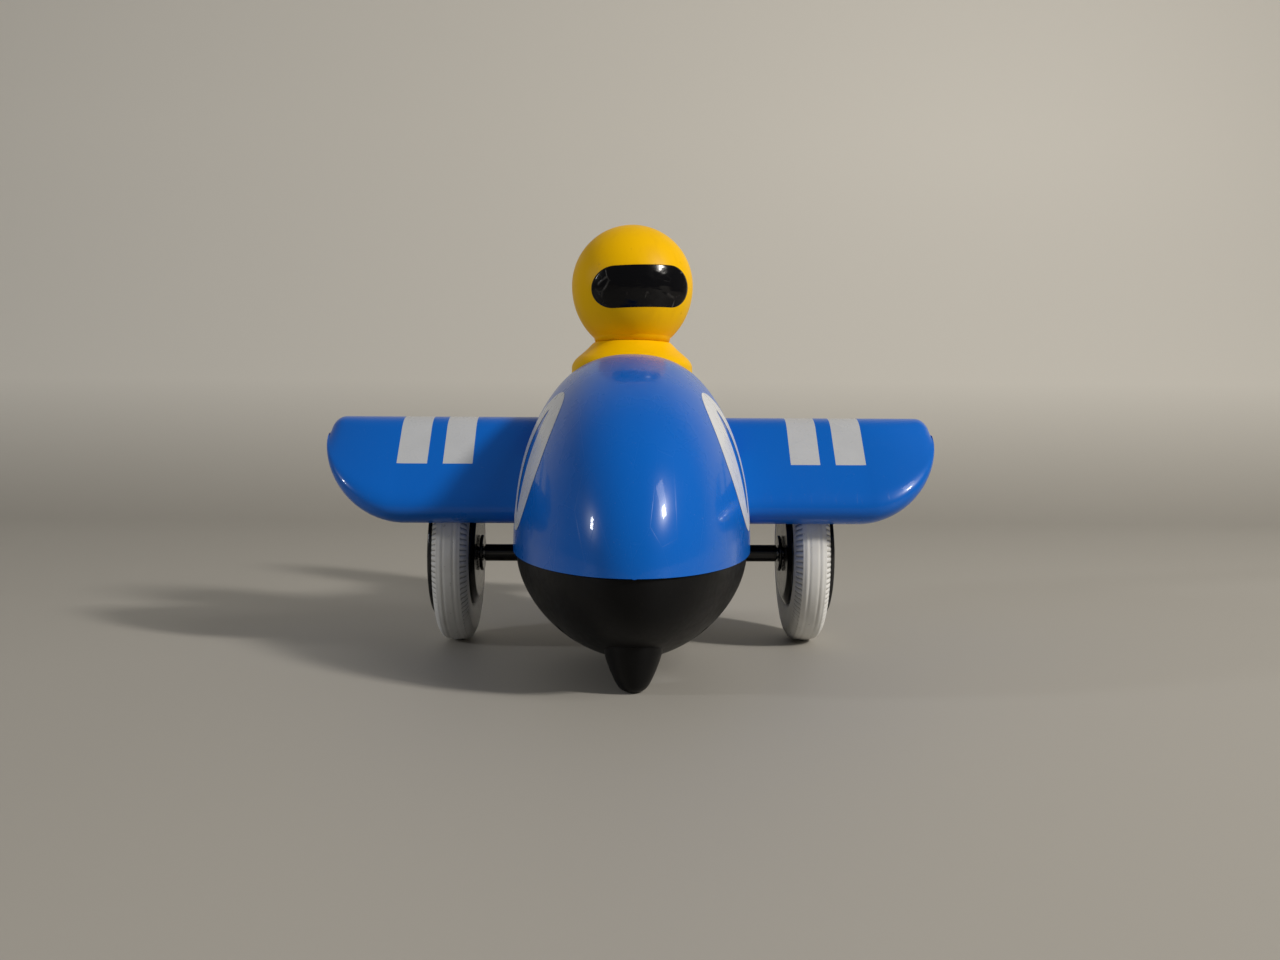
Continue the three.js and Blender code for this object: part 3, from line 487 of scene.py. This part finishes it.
def body_section(y, step=0.0):
    """Half-width, top, widest height and bottom of the body at a station, drawn in by a step."""
    reach = NOSE_REACH - step
    half = BODY_HALF_WIDTH - step
    if y < WIDEST_Y:
        nose = math.sqrt(max(0, 1 - ((WIDEST_Y - y) / (reach + WIDEST_Y)) ** NOSE_FULLNESS))
        belly = round_off(max(0, BELLY_Y - y) / (reach + BELLY_Y), CHIN_FULLNESS)
        floor = BELLY_Z if y < BELLY_Y else belly_behind(y)
        top = SEAM_Z + (BODY_TOP_Z - SEAM_Z) * nose
        return half * nose, top, SEAM_Z, SEAM_Z - (SEAM_Z - floor - step) * belly
    back = fade(y, WIDEST_Y, TAIL_REACH)
    closing = y - (TAIL_REACH - TAIL["rounding"])
    end = round_off(closing / TAIL["rounding"], 2) if closing > 0 else 1
    middle = TAIL["middle"] + (SEAM_Z - TAIL["middle"]) * back
    width = (TAIL["width"] + (half - TAIL["width"]) * back) * end
    top = middle + (TAIL["top"] + (BODY_TOP_Z - TAIL["top"]) * back - middle) * end
    return width, top, middle, middle + (belly_behind(y) + step - middle) * end


def body_point(y, angle, step=0.0):
    """A point of the body's skin; angle is 0 at its widest line and a quarter turn at its top."""
    width, top, middle, bottom = body_section(y, step)
    fullness = 2 / (BODY_FULLNESS if angle > 0 else BOWL_FULLNESS)
    up = math.copysign(abs(math.sin(angle)) ** fullness, angle)
    reach = top - middle if up > 0 else middle - bottom
    return width * abs(math.cos(angle)) ** fullness, y, middle + reach * up


def skin_height(x, y):
    """Height of the body's upper skin over a point."""
    width, top, middle, _ = body_section(y)
    return middle + (top - middle) * round_off(min(1, abs(x) / max(width, 1e-6)), BODY_FULLNESS)


def skin_reach(y, z):
    """How far the body's upper skin stands out sideways at a height."""
    width, top, middle, _ = body_section(y)
    return width * round_off(min(1, max(0, z - middle) / (top - middle)), BODY_FULLNESS)


def seam_angle(y, height, step=0.0):
    """The skin angle at which the body reaches a height near the seam."""
    _, top, middle, bottom = body_section(y, step)
    rise = height - middle
    reach = top - middle if rise > 0 else middle - bottom
    share = min(1.0, abs(rise) / max(reach, 1e-6))
    return math.copysign(math.asin(share ** ((BODY_FULLNESS if rise > 0 else BOWL_FULLNESS) / 2)), rise)


def spaced(start, end, count):
    """Stations that crowd together at both ends."""
    return [start + (end - start) * (1 - math.cos(math.pi * i / count)) / 2 for i in range(count + 1)]


# ---------------------------------------------------------------- fuselage


def build_upper_shell():
    """The skin in two stretches: from the round cockpit edge to the shoulder line, and down to the seam."""
    centre = Vector((0, PILOT_Y))
    columns = []
    for y in spaced(-NOSE_REACH, TAIL_REACH, 150):
        edge = Vector(body_point(y, SHOULDER)[:2])
        rim = centre + (edge - centre).normalized() * COCKPIT_RADIUS
        column = []
        for k in range(36):
            at = rim.lerp(edge, math.sin(math.pi / 2 * k / 36))
            column.append((at.x, at.y, skin_height(*at)))
        low = min(SHOULDER * 0.98, seam_angle(y, SEAM_Z + GAP / 2))
        column += [body_point(y, SHOULDER + (low - SHOULDER) * k / 18) for k in range(19)]
        columns.append(column)
    shell = make_piece(
        "upper_shell", both_sides(grid(columns)), BLUE, "airframe", ["fuselage_upper_shell"]
    )
    add_wall(shell, SHELL_WALL)
    add_bevel(shell, 0.45, 3, 50)


def build_lower_shell():
    """A bowl that stands in a little from the upper shell's edge and runs out under the tail."""
    edge = SEAM_Z - GAP / 2
    # halving steps to the station where the underside has risen to the bowl's edge
    start, end = 0, TAIL_REACH * 0.6
    for _ in range(40):
        middle = (start + end) / 2
        above = body_section(middle, BOWL_STEP)[3] > edge
        start, end = (start, middle) if above else (middle, end)
    columns = []
    for y in spaced(BOWL_STEP - NOSE_REACH, end, 120):
        high = min(0, seam_angle(y, edge, BOWL_STEP))
        turns = [high + (-math.pi / 2 - high) * k / 36 for k in range(37)]
        columns.append([body_point(y, turn, BOWL_STEP) for turn in turns])
    shell = make_piece(
        "lower_shell", both_sides(grid(columns)), BLACK, "airframe", ["fuselage_lower_shell"]
    )
    add_wall(shell, SHELL_WALL - BOWL_STEP)
    cut_screw_pockets(shell)
    add_bevel(shell, 0.3, 3, 50)


POCKET_MIDDLE_Z = 4
POCKET_LENGTH = 30


def cut_screw_pockets(shell):
    """A round hole below each body screw.

    Below the front pair it goes through the shell, and their heads are seen. The belly is higher at the rear
    pair, where it only marks the skin.
    """
    cutters = []
    for i in range(1, 5):
        low, high = box_mm(f"body_screw_{i}")
        x, y = (low.x + high.x) / 2, (low.y + high.y) / 2 - AXLE_Y
        radius = (high.x - low.x) / 2 + GAP
        turns = [2 * math.pi * k / 48 for k in range(48)]
        outline = [(x + radius * math.cos(a), y + radius * math.sin(a)) for a in turns]
        cutters.append(slab(outline, lambda a, b, z: (a, b, z + POCKET_MIDDLE_Z), POCKET_LENGTH))
    tool = make_piece("screw_pockets", join(*cutters), BLACK, "airframe")
    cut = shell.modifiers.new("pockets", "BOOLEAN")
    cut.operation = "DIFFERENCE"
    cut.object = tool
    bake(shell)
    bpy.data.objects.remove(tool)


def build_cockpit_sleeve():
    low, high = (corner.z for corner in box_mm("cockpit_sleeve"))
    outer = COCKPIT_RADIUS - GAP
    corners = [(SLEEVE_BORE, low), (outer, low), (outer, high), (SLEEVE_BORE, high)]
    profile = round_corners(corners, 0.5, closed=True)
    shape = lathe(profile, 96, about_pilot, closed=True)
    even_normals(make_piece("cockpit_liner", shape, BLACK, "airframe", ["cockpit_sleeve"]))


# ---------------------------------------------------------------- flank numbers

NUMBER = {"y": -41.5, "z": 55.5, "half_wide": 18.5, "half_high": 18.8, "slot_wide": 4, "slot_high": 14}
NUMBER_FULLNESS = 1.8  # power of the figure's outline, as for the body
INK_HEIGHT = 0.09


def number_share(part):
    """A cosine or sine bent so that the outline gets the figure's fullness."""
    return math.copysign(abs(part) ** (2 / NUMBER_FULLNESS), part)


def build_numbers():
    """A plain round figure printed on each flank, lying on the skin, in ink painted lighter than the
    stripes' as painted light.
    """
    steps, bands = 120, 9
    rows = []
    for j in range(bands + 1):
        t = j / bands
        wide = NUMBER["half_wide"] + (NUMBER["slot_wide"] - NUMBER["half_wide"]) * t
        high = NUMBER["half_high"] + (NUMBER["slot_high"] - NUMBER["half_high"]) * t
        row = []
        for i in range(steps):
            a = 2 * math.pi * i / steps
            across, up = (number_share(part) for part in (math.cos(a), math.sin(a)))
            y, z = NUMBER["y"] + wide * across, NUMBER["z"] + high * up
            row.append((skin_reach(y, z) + INK_HEIGHT, y, z))
        rows.append(row)
    number = grid(rows, around=True)
    for name, shape in (("left_number", number), ("right_number", mirrored(number))):
        make_piece(name, shape, NUMBER_PRINT_PAINTED_LIGHT, "airframe")


# ---------------------------------------------------------------- skid

SKID = {"y": -73, "top": 7.6, "foot_wide": 2.3, "foot_long": 4}  # half-widths, and half the foot's length


def build_skid():
    """A tapered foot under the nose, with a rounded flat to stand on."""
    # height, and how far the foot has spread from its flat towards the bowl
    levels = [(0, 0), (0.15, 0.06), (0.5, 0.18), (1.1, 0.28), (1.8, 0.37), (3.2, 0.5), (5, 0.65)]
    levels += [(7.5, 0.82), (10, 0.95), (12, 1.0), (14, 1.02)]
    rows = []
    for z, spread in levels:
        rx = SKID["foot_wide"] + (SKID["top"] - SKID["foot_wide"]) * spread
        ry = SKID["foot_long"] + (SKID["top"] * 1.3 - SKID["foot_long"]) * spread
        angles = [2 * math.pi * i / 48 for i in range(48)]
        rows.append([(rx * math.cos(a), SKID["y"] + ry * math.sin(a), z) for a in angles])
    points, faces = grid(rows, around=True)
    faces.append(tuple(range(48)))
    faces.append(tuple(range(len(points) - 48, len(points))))
    even_normals(make_piece("skid_foot", (points, faces), BLACK, "airframe", ["nose_skid"]))


# ---------------------------------------------------------------- wings

WING_MOUTH_END = 70  # the wing is open below from its root to here
WING_MOUTH_EDGE = 0.3  # length over which the mouth's outer end closes
WING_LIP = 8
WING_REAR_LIP = 3.4
STRIPES = [(45.7, 54.2), (58.7, 67.4)]
STRIPE_LOW_FRONT = 54.4  # where the stripes end on the wing's front
STRIPE_LOW_BACK = 50
STRIPE_TURN = 0.4  # share of the way from front to back up to which the front's limit holds


def wing_section():
    """The section's outside, as (y, z) points from the front lip over the top to the rear lip."""
    front, back, low, peak = WING_FRONT, WING_BACK, WING_LOW, WING_PEAK
    lip = [(front + 9, low), (front + 2.5, low), (front - 2, low + 3.4), (front + 2.6, low + 9.6)]
    outline = bezier(lip, 14)
    slope_end = (front + 16.8, peak - 4.4)
    slope_start = (front + 2.6, low + 9.6)
    share = (STRIPE_LOW_FRONT - slope_start[1]) / (slope_end[1] - slope_start[1])
    stripe = tuple(Vector(slope_start).lerp(Vector(slope_end), share))
    outline += bezier([slope_start, stripe], 5)
    outline += bezier([stripe, slope_end], 7)
    crown = [slope_end, (front + 20.5, peak + 0.4), (front + 27, peak + 1.5), (front + 35, peak - 3)]
    outline += bezier(crown, 18)
    outline += bezier([(front + 35, peak - 3), (back - 9, peak - 12), (back - 0.6, low + 3.6)], 22)
    outline += bezier([(back - 0.6, low + 3.6), (back, low), (back - 2, low)], 6)
    return outline + [(back - 2, low)]


def wing_limits(x):
    """Front, back, bottom and top of the wing at a distance from the airplane's middle."""
    start = WING_HALF_SPAN - WING_CORNER
    corner = WING_CORNER - math.sqrt(max(0, WING_CORNER**2 - max(0, x - start) ** 2))
    rising = max(0, 1 - (WING_HALF_SPAN - x) / WING_TIP["across"])
    falling = max(0, 1 - (WING_HALF_SPAN - x) / WING_TIP["high"])
    low = WING_LOW + WING_TIP["rise"] * (1 - round_off(min(1, rising), 1.9))
    high = WING_PEAK - WING_TIP["high"] * (1 - round_off(min(1, falling), 2))
    return WING_FRONT + corner, WING_BACK - corner, low, high


def wing_stations():
    """Distances from the airplane's middle at which the wing has a section, one at each stripe's edge."""
    stations = [WING_ROOT, 30, 35, 40]
    edges = [x for stripe in STRIPES for x in stripe] + [WING_MOUTH_END - WING_MOUTH_EDGE]
    for a, b in zip(edges, edges[1:]):
        stations += [a + (b - a) * k / 6 for k in range(6)]
    stations += [WING_MOUTH_END - WING_MOUTH_EDGE, WING_MOUTH_END]
    reach = WING_HALF_SPAN - WING_MOUTH_END
    stations += [WING_MOUTH_END + reach * math.sin(math.pi / 2 * k / 22) for k in range(1, 23)]
    return stations


def wing_shape():
    """Sections joined from root to tip, hollow over the wheel, with the tip closed by rings that shrink."""
    outside = wing_section()
    # the inside is the outside drawn in to this share, towards this line and the wing's underside
    middle_y, wall = -3, 0.9
    front_wall, rear_wall = WING_FRONT + WING_LIP, WING_BACK - WING_REAR_LIP
    inside = []
    for y, z in reversed(outside):
        inner_y = min(rear_wall, max(front_wall, middle_y + (y - middle_y) * wall))
        inside.append((inner_y, WING_LOW + (z - WING_LOW) * wall))
    rows = []
    for x in wing_stations():
        front, back, low, high = wing_limits(x)
        open_here = x < WING_MOUTH_END
        row = []
        for y, z in outside + [(y, z if open_here else WING_LOW) for y, z in inside]:
            across = (y - WING_FRONT) / (WING_BACK - WING_FRONT)
            up = (z - WING_LOW) / (WING_PEAK - WING_LOW)
            row.append((x, front + (back - front) * across, low + (high - low) * up))
        rows.append(row)
    points, faces = grid(rows, around=True)
    count = len(rows[0])
    faces.append(tuple(range(count)))
    tip = rows[-1][: len(outside)]
    centre = sum((Vector(p) for p in tip), Vector()) / len(tip)
    last = len(points) - count
    outline = [last + i for i in range(len(outside))]
    for shrink in (0.7, 0.4, 0.15):
        first = len(points)
        points += [tuple(centre.lerp(Vector(p), shrink)) for p in tip]
        inner = [first + i for i in range(len(tip))]
        for i in range(len(tip)):
            j = (i + 1) % len(tip)
            faces.append((outline[i], outline[j], inner[j], inner[i]))
        outline = inner
    faces.append(tuple(outline))
    return points, faces


def is_stripe(x, y, z):
    """Whether a point of the wing, on its outside or its inside, is white."""
    if not any(a < abs(x) < b for a, b in STRIPES):
        return False
    share = (y - WING_FRONT) / (WING_BACK - WING_FRONT)
    if share < STRIPE_TURN:
        return z > STRIPE_LOW_FRONT
    return z > STRIPE_LOW_BACK


def build_wings():
    shape = wing_shape()
    for name, made in (("left_wing_cap", shape), ("right_wing_cap", mirrored(shape))):
        node = name.replace("_cap", "")
        wing = make_piece(name, made, WING_BLUE, "airframe", [node], (PRINT, is_stripe))
        add_bevel(wing, 0.5, 3, 55)


# ---------------------------------------------------------------- tail

FIN_THICKNESS = 6.4


def build_tail():
    fin = [(47.4, 50)]  # (y, z) points up the leading edge, round the top and down the trailing edge
    fin += bezier([(61.2, 94), (66, 108), (76, 108)], 14)
    fin += bezier([(76, 108), (89.3, 108), (89.1, 95)], 14)
    fin += [(89.1, 95), (84.8, 50)]
    shape = slab(fin, lambda y, z, x: (x, y, z), FIN_THICKNESS)
    add_bevel(make_piece("fin_blade", shape, WING_BLUE, "airframe", ["tail_fin"]), 2.2, 6, 40)
    half, front, back, r = 32, 55, 79, 9  # half-width, leading and trailing edge, corner radius
    plan = []
    for cx, cy, turn in ((half - r, front + r, -0.5), (half - r, back - r, 0), (r - half, back - r, 0.5),
                         (r - half, front + r, 1)):
        angles = [math.pi * (turn + 0.5 * k / 12) for k in range(13)]
        plan += [(cx + r * math.cos(a), cy + r * math.sin(a)) for a in angles]
    low, high = (corner.z for corner in box_mm("tailplane"))
    shape = slab(plan, lambda x, y, z: (x, y, (low + high) / 2 + z), high - low)
    plane = make_piece("tailplane_blade", shape, WING_BLUE, "airframe", ["tailplane"])
    add_bevel(plane, 2.0, 6, 40)


# ---------------------------------------------------------------- wheels

NOTCHES = 98
NOTCH_BAND = (3.55, 5.0)  # between these distances from the middle of the tread
NOTCH_DEPTH = 0.7
NOTCH_SHARE = 0.3  # how much of each notch's pitch takes the painted shade, a darker rubber colour
NOTCH_INNER_RADIUS = 22  # nearer the axle than this, nothing is notched
CROWN_EDGE = 20  # radius where the crown starts to rise from the sidewall
BUSH_FLANGE = 0.8


def in_notch(x, y, z):
    """Whether a point of the tyre takes the painted shade of a notch, a darker rubber colour."""
    turn = (math.atan2(z - AXLE_Z, y) / (2 * math.pi) * NOTCHES) % 1
    across = abs(abs(x) - WHEEL_X)
    at_shoulder = NOTCH_BAND[0] < across < NOTCH_BAND[1] and math.hypot(y, z - AXLE_Z) > NOTCH_INNER_RADIUS
    return at_shoulder and turn < NOTCH_SHARE


def tyre_shape():
    """The crown is a rounded square with thin grooves, and both shoulders are notched all round."""
    steps = NOTCHES * 4
    angles = [2 * math.pi * i / steps for i in range(steps)]

    def ring(radius, x, notched=False):
        cut = [NOTCH_DEPTH if notched and i % 4 in (0, 1) else 0 for i in range(steps)]
        return [(WHEEL_X + x, (radius - c) * math.cos(a), AXLE_Z + (radius - c) * math.sin(a))
                for a, c in zip(angles, cut)]

    rows = []
    for k in range(53):
        x = -TYRE_HALF * math.cos(math.pi * k / 52)
        crown = CROWN_EDGE + (WHEEL_RADIUS - CROWN_EDGE) * round_off(x / TYRE_HALF, 3.4)
        grooves = 0.2 * math.exp(-(((abs(x) - 1.5) / 0.28) ** 2))
        grooves += 0.12 * math.exp(-(((abs(x) - 2.9) / 0.2) ** 2))
        rows.append(ring(crown - grooves, x, NOTCH_BAND[0] < abs(x) < NOTCH_BAND[1]))
    rows.append(ring(17.4, TYRE_HALF - 0.35))
    rows.append(ring(TYRE_BORE, TYRE_HALF - 1.2))
    rows.append(ring(TYRE_BORE, 1.2 - TYRE_HALF))
    rows.append(ring(17.4, 0.35 - TYRE_HALF))
    return grid(rows + rows[:1], around=True)


def ring_profile(node, radius):
    """Profile of a plain ring on the axle, as long as a CAD node."""
    low, high = box_mm(node)
    return [(AXLE_BORE, low.x), (radius, low.x), (radius, high.x), (AXLE_BORE, high.x)]


def build_wheels():
    inner, outer = WHEEL_X - TYRE_HALF, WHEEL_X + TYRE_HALF
    rim = TYRE_BORE - GAP
    # profiles of (distance from the axle, distance from the airplane's middle)
    hub = [(AXLE_BORE, inner - 1), (rim - 2.2, inner - 1), (rim, inner + 0.2), (rim, outer + 0.1),
           (rim - 1.2, outer + 0.1), (rim - 1.2, outer - 1.6), (AXLE_BORE, outer - 1.6)]
    cap = [(0, outer - 1.3), (rim - 1.5, outer - 1.3), (rim - 1.5, outer + 0.2), (18.4, outer + 0.3)]
    cap += [(18.9, outer + 0.9), (18.6, outer + 1.8), (17.6, outer + 2.05), (16.4, outer + 1.3)]
    cap += [(11.2, outer + 0.9), (10.8, outer + 0.6), (10.0, outer + 0.6), (9.6, outer + 1.25)]
    cap += [(6.5, outer + 1.75), (3, outer + 2.0), (0, outer + 2.08)]
    seat = box_mm("left_axle_bush")[1].x - BUSH_FLANGE
    bush = [(AXLE_BORE, seat - 5), (4, seat - 5), (4, seat), (6.1, seat), (6.1, seat + BUSH_FLANGE)]
    bush.append((AXLE_BORE, seat + BUSH_FLANGE))
    washer = ring_profile("left_wheel_washer", 5.5)
    sleeve = ring_profile("left_axle_sleeve", 2.6)
    # piece, CAD node, body, profile, easing of its edges, segments, closed
    parts = [
        ("wheel_disc", "wheel_hub", "wheelset", hub, 0.3, 96, True),
        ("wheel_cap", "hub_cap", "wheelset", cap, 0.3, 96, False),
        ("axle_bushing", "axle_bush", "airframe", bush, 0.2, 64, True),
        ("axle_washer", "wheel_washer", "wheelset", washer, 0.35, 64, True),
        ("axle_tube", "axle_sleeve", "wheelset", sleeve, 0.2, 48, True),
    ]
    for side, name in ((-1, "right"), (1, "left")):
        tyre = tyre_shape()
        shape = tyre if side > 0 else mirrored(tyre)
        nodes = [f"{name}_tyre"]
        # the notched shoulders take painted shade, a darker copy of the rubber
        paint = (NOTCH_SHADE_RUBBER, in_notch)
        make_piece(f"{name}_tyre_rubber", shape, RUBBER, "wheelset", nodes, paint)
        for piece, node, body, profile, easing, segments, closed in parts:
            made = lathe(round_corners(profile, easing, 3, closed), segments, about_axle(side), closed)
            replaced = [f"{name}_{node}"]
            even_normals(make_piece(f"{name}_{piece}", made, HUB_BLACK, body, replaced))


# ---------------------------------------------------------------- pilot

NECK_DROP = 16.8  # from the middle of the ball down to where it meets the body
NECK_RADIUS = 11.3
PILOT_RADIUS = 17.9


def turned(x, y, z):
    """A point drawn facing straight ahead, turned with the pilot."""
    c, s = math.cos(PILOT_TURN), math.sin(PILOT_TURN)
    return (x * c - y * s, PILOT_Y + x * s + y * c, z)


def build_pilot():
    """A collared body and the ball on its neck, both turned about the upright."""
    low = box_mm("pilot_body")[0].z
    neck_z = HEAD_Z - NECK_DROP
    profile = [(0, low), (PILOT_RADIUS, low), (PILOT_RADIUS, neck_z - 6.6), (16.8, neck_z - 4.9)]
    profile += [(13.6, neck_z - 2.2), (11.7, neck_z - 0.2), (11.2, neck_z + 0.1), (0, neck_z + 0.1)]
    shape = lathe(round_corners(profile, 0.9, 5), 128, about_pilot)
    body = make_piece("pilot_torso", shape, YELLOW, "pilot", ["pilot_body"])
    even_normals(body)
    bottom = -math.acos(NECK_RADIUS / HEAD_RADIUS)
    ball = [(0, neck_z + 0.2), (11.0, neck_z + 0.2)]
    steps = 64
    for k in range(steps + 1):
        a = bottom + (math.pi / 2 - bottom) * k / steps
        rise = HEAD_RADIUS * math.sin(a) * (HEAD_STRETCH if a < 0 else 1)
        ball.append((HEAD_RADIUS * math.cos(a) if k < steps else 0, HEAD_Z + rise))
    make_piece("pilot_ball", lathe(ball, 112, about_pilot), YELLOW, "pilot", ["pilot_head"])


def build_visor():
    """A round-ended film pressed on to the front of the ball, slightly puckered."""
    half_wide, half_high, rings = 14.1, 5.9, 26
    outline = []
    for k in range(40):
        a = math.pi * (k / 39 - 0.5)
        outline.append((half_wide - half_high + half_high * math.cos(a), half_high * math.sin(a)))
    run = 2 * (half_wide - half_high)
    top = [(half_wide - half_high - run * k / 24, half_high) for k in range(1, 24)]
    half = outline + top
    outline = half + [(-x, -z) for x, z in half]
    rows = []
    for j in range(rings + 2):
        t = min(1.0, j / rings)
        row = []
        for x, z in outline:
            px = (x * math.cos(VISOR_TILT) - z * math.sin(VISOR_TILT)) * t
            pz = (x * math.sin(VISOR_TILT) + z * math.cos(VISOR_TILT)) * t + VISOR_Z
            pucker = 0.10 * noise.noise(Vector((px * 0.33, pz * 0.5, 3.1)))
            pucker += 0.05 * abs(noise.noise(Vector((px * 0.9, pz * 1.3, 8.7))))
            radius = HEAD_RADIUS + (VISOR_LIFT + pucker * (1 - t**6) if j <= rings else -0.1)
            y = -math.sqrt(radius**2 - px**2 - pz**2)
            row.append(turned(px, y, HEAD_Z + pz))
        rows.append(row)
    shape = grid(rows, around=True)
    make_piece("visor_strip", shape, VISOR, "pilot", ["visor_sticker"])


# ---------------------------------------------------------------- pieces that keep their CAD shape

KEPT = {
    WOOD: ["front_wing_dowel", "rear_wing_dowel", "pilot_dowel"],
    STEEL: ["axle", "gear_shaft", "pilot_screw"]
    + [f"gearbox_screw_{i}" for i in range(1, 5)]
    + [f"body_screw_{i}" for i in range(1, 5)],
    SPRING_STEEL: ["return_spring"],
    GEAR: ["plunger_rack", "compound_gear", "clutch_gear", "clutch_collar"],
    BLACK: ["gearbox_right_half", "gearbox_left_half"],
}


def finish_kept_nodes():
    """Gives the CAD nodes that stay in view their materials."""
    for material, names in KEPT.items():
        for name in names:
            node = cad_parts[name]
            node.data.materials.clear()
            node.data.materials.append(material)


# ---------------------------------------------------------------- studio

FLOOR_DROP = 0.0002  # metres, so that the floor lies just under the wheels


def build_stage():
    """A pale floor that curves up into a backdrop."""
    profile = [(-2.5, 0.0), (-0.6, 0.0), (0.5, 0.0)]
    turns = [math.pi / 2 * k / 16 for k in range(17)]
    profile += [(0.5 + 0.4 * math.sin(a), 0.4 - 0.4 * math.cos(a)) for a in turns]
    profile += [(0.9, 2.6)]
    points = [(x, y, z - FLOOR_DROP) for y, z in profile for x in (-3.0, 3.0)]
    mesh = bpy.data.meshes.new("floor")
    mesh.from_pydata(points, [], grid_faces(len(profile), 2))
    for face in mesh.polygons:
        face.use_smooth = True
    p = Paint("pale_floor", roughness=0.55)
    base = p.blend(p.noise(3, 3), (0.46, 0.44, 0.40), (0.43, 0.41, 0.37))
    height = p.node("SeparateXYZ", {"Vector": p.place}).outputs["Z"]
    base = p.blend(p.spread(height, 0.0, 0.12), base, (0.86, 0.83, 0.76))
    mesh.materials.append(p.done(base))
    floor = bpy.data.objects.new("floor", mesh)
    SCENE.collection.objects.link(floor)


def add_light(name, at, towards, size, watts, colour):
    light = bpy.data.lights.new(name, "AREA")
    light.shape = "RECTANGLE"
    light.size, light.size_y = size
    light.energy = watts
    light.color = colour
    obj = bpy.data.objects.new(name, light)
    obj.location = at
    obj.rotation_euler = (Vector(towards) - Vector(at)).to_track_quat("-Z", "Y").to_euler()
    SCENE.collection.objects.link(obj)


def build_lights():
    middle = (0, 0, 0.05)
    add_light("key", (0.92, -0.60, 0.72), middle, (0.11, 0.15), 10.2, (1.0, 0.95, 0.88))
    add_light("overhead", (0.75, -0.50, 0.80), middle, (0.22, 0.45), 2.2, (1.0, 0.97, 0.93))
    add_light("left_lamp", (-1.1, -0.30, 0.42), middle, (0.08, 0.13), 2.2, (0.96, 0.97, 1.0))
    world = bpy.data.worlds.new("studio")
    world.use_nodes = True
    world.node_tree.nodes["Background"].inputs["Color"].default_value = (0.80, 0.79, 0.77, 1)
    world.node_tree.nodes["Background"].inputs["Strength"].default_value = 0.18
    SCENE.world = world
    SCENE.view_settings.view_transform = "Standard"


# place in millimetres from the axle, turns in degrees, lens in millimetres
CAMERA = {"at": (-3, -351, 61.3), "right": 0.93, "down": 2.0, "roll": 0.26, "lens": 32}


def build_camera():
    camera = bpy.data.cameras.new("camera")
    camera.sensor_width = 36
    camera.lens = CAMERA["lens"]
    obj = bpy.data.objects.new("camera", camera)
    x, y, z = CAMERA["at"]
    obj.location = (x * MM, (y + AXLE_Y) * MM, z * MM)
    right, down, roll = (math.radians(CAMERA[key]) for key in ("right", "down", "roll"))
    look = Vector((math.sin(right) * math.cos(down), math.cos(right) * math.cos(down), -math.sin(down)))
    turn = look.to_track_quat("-Z", "Y")
    obj.rotation_mode = "QUATERNION"
    obj.rotation_quaternion = turn @ Quaternion((0, 0, 1), roll)
    SCENE.collection.objects.link(obj)
    SCENE.camera = obj


# ---------------------------------------------------------------- everything

build_camera()
build_stage()
build_lights()
build_upper_shell()
build_lower_shell()
build_cockpit_sleeve()
build_numbers()
build_skid()
build_wings()
build_tail()
build_wheels()
build_pilot()
build_visor()
finish_kept_nodes()
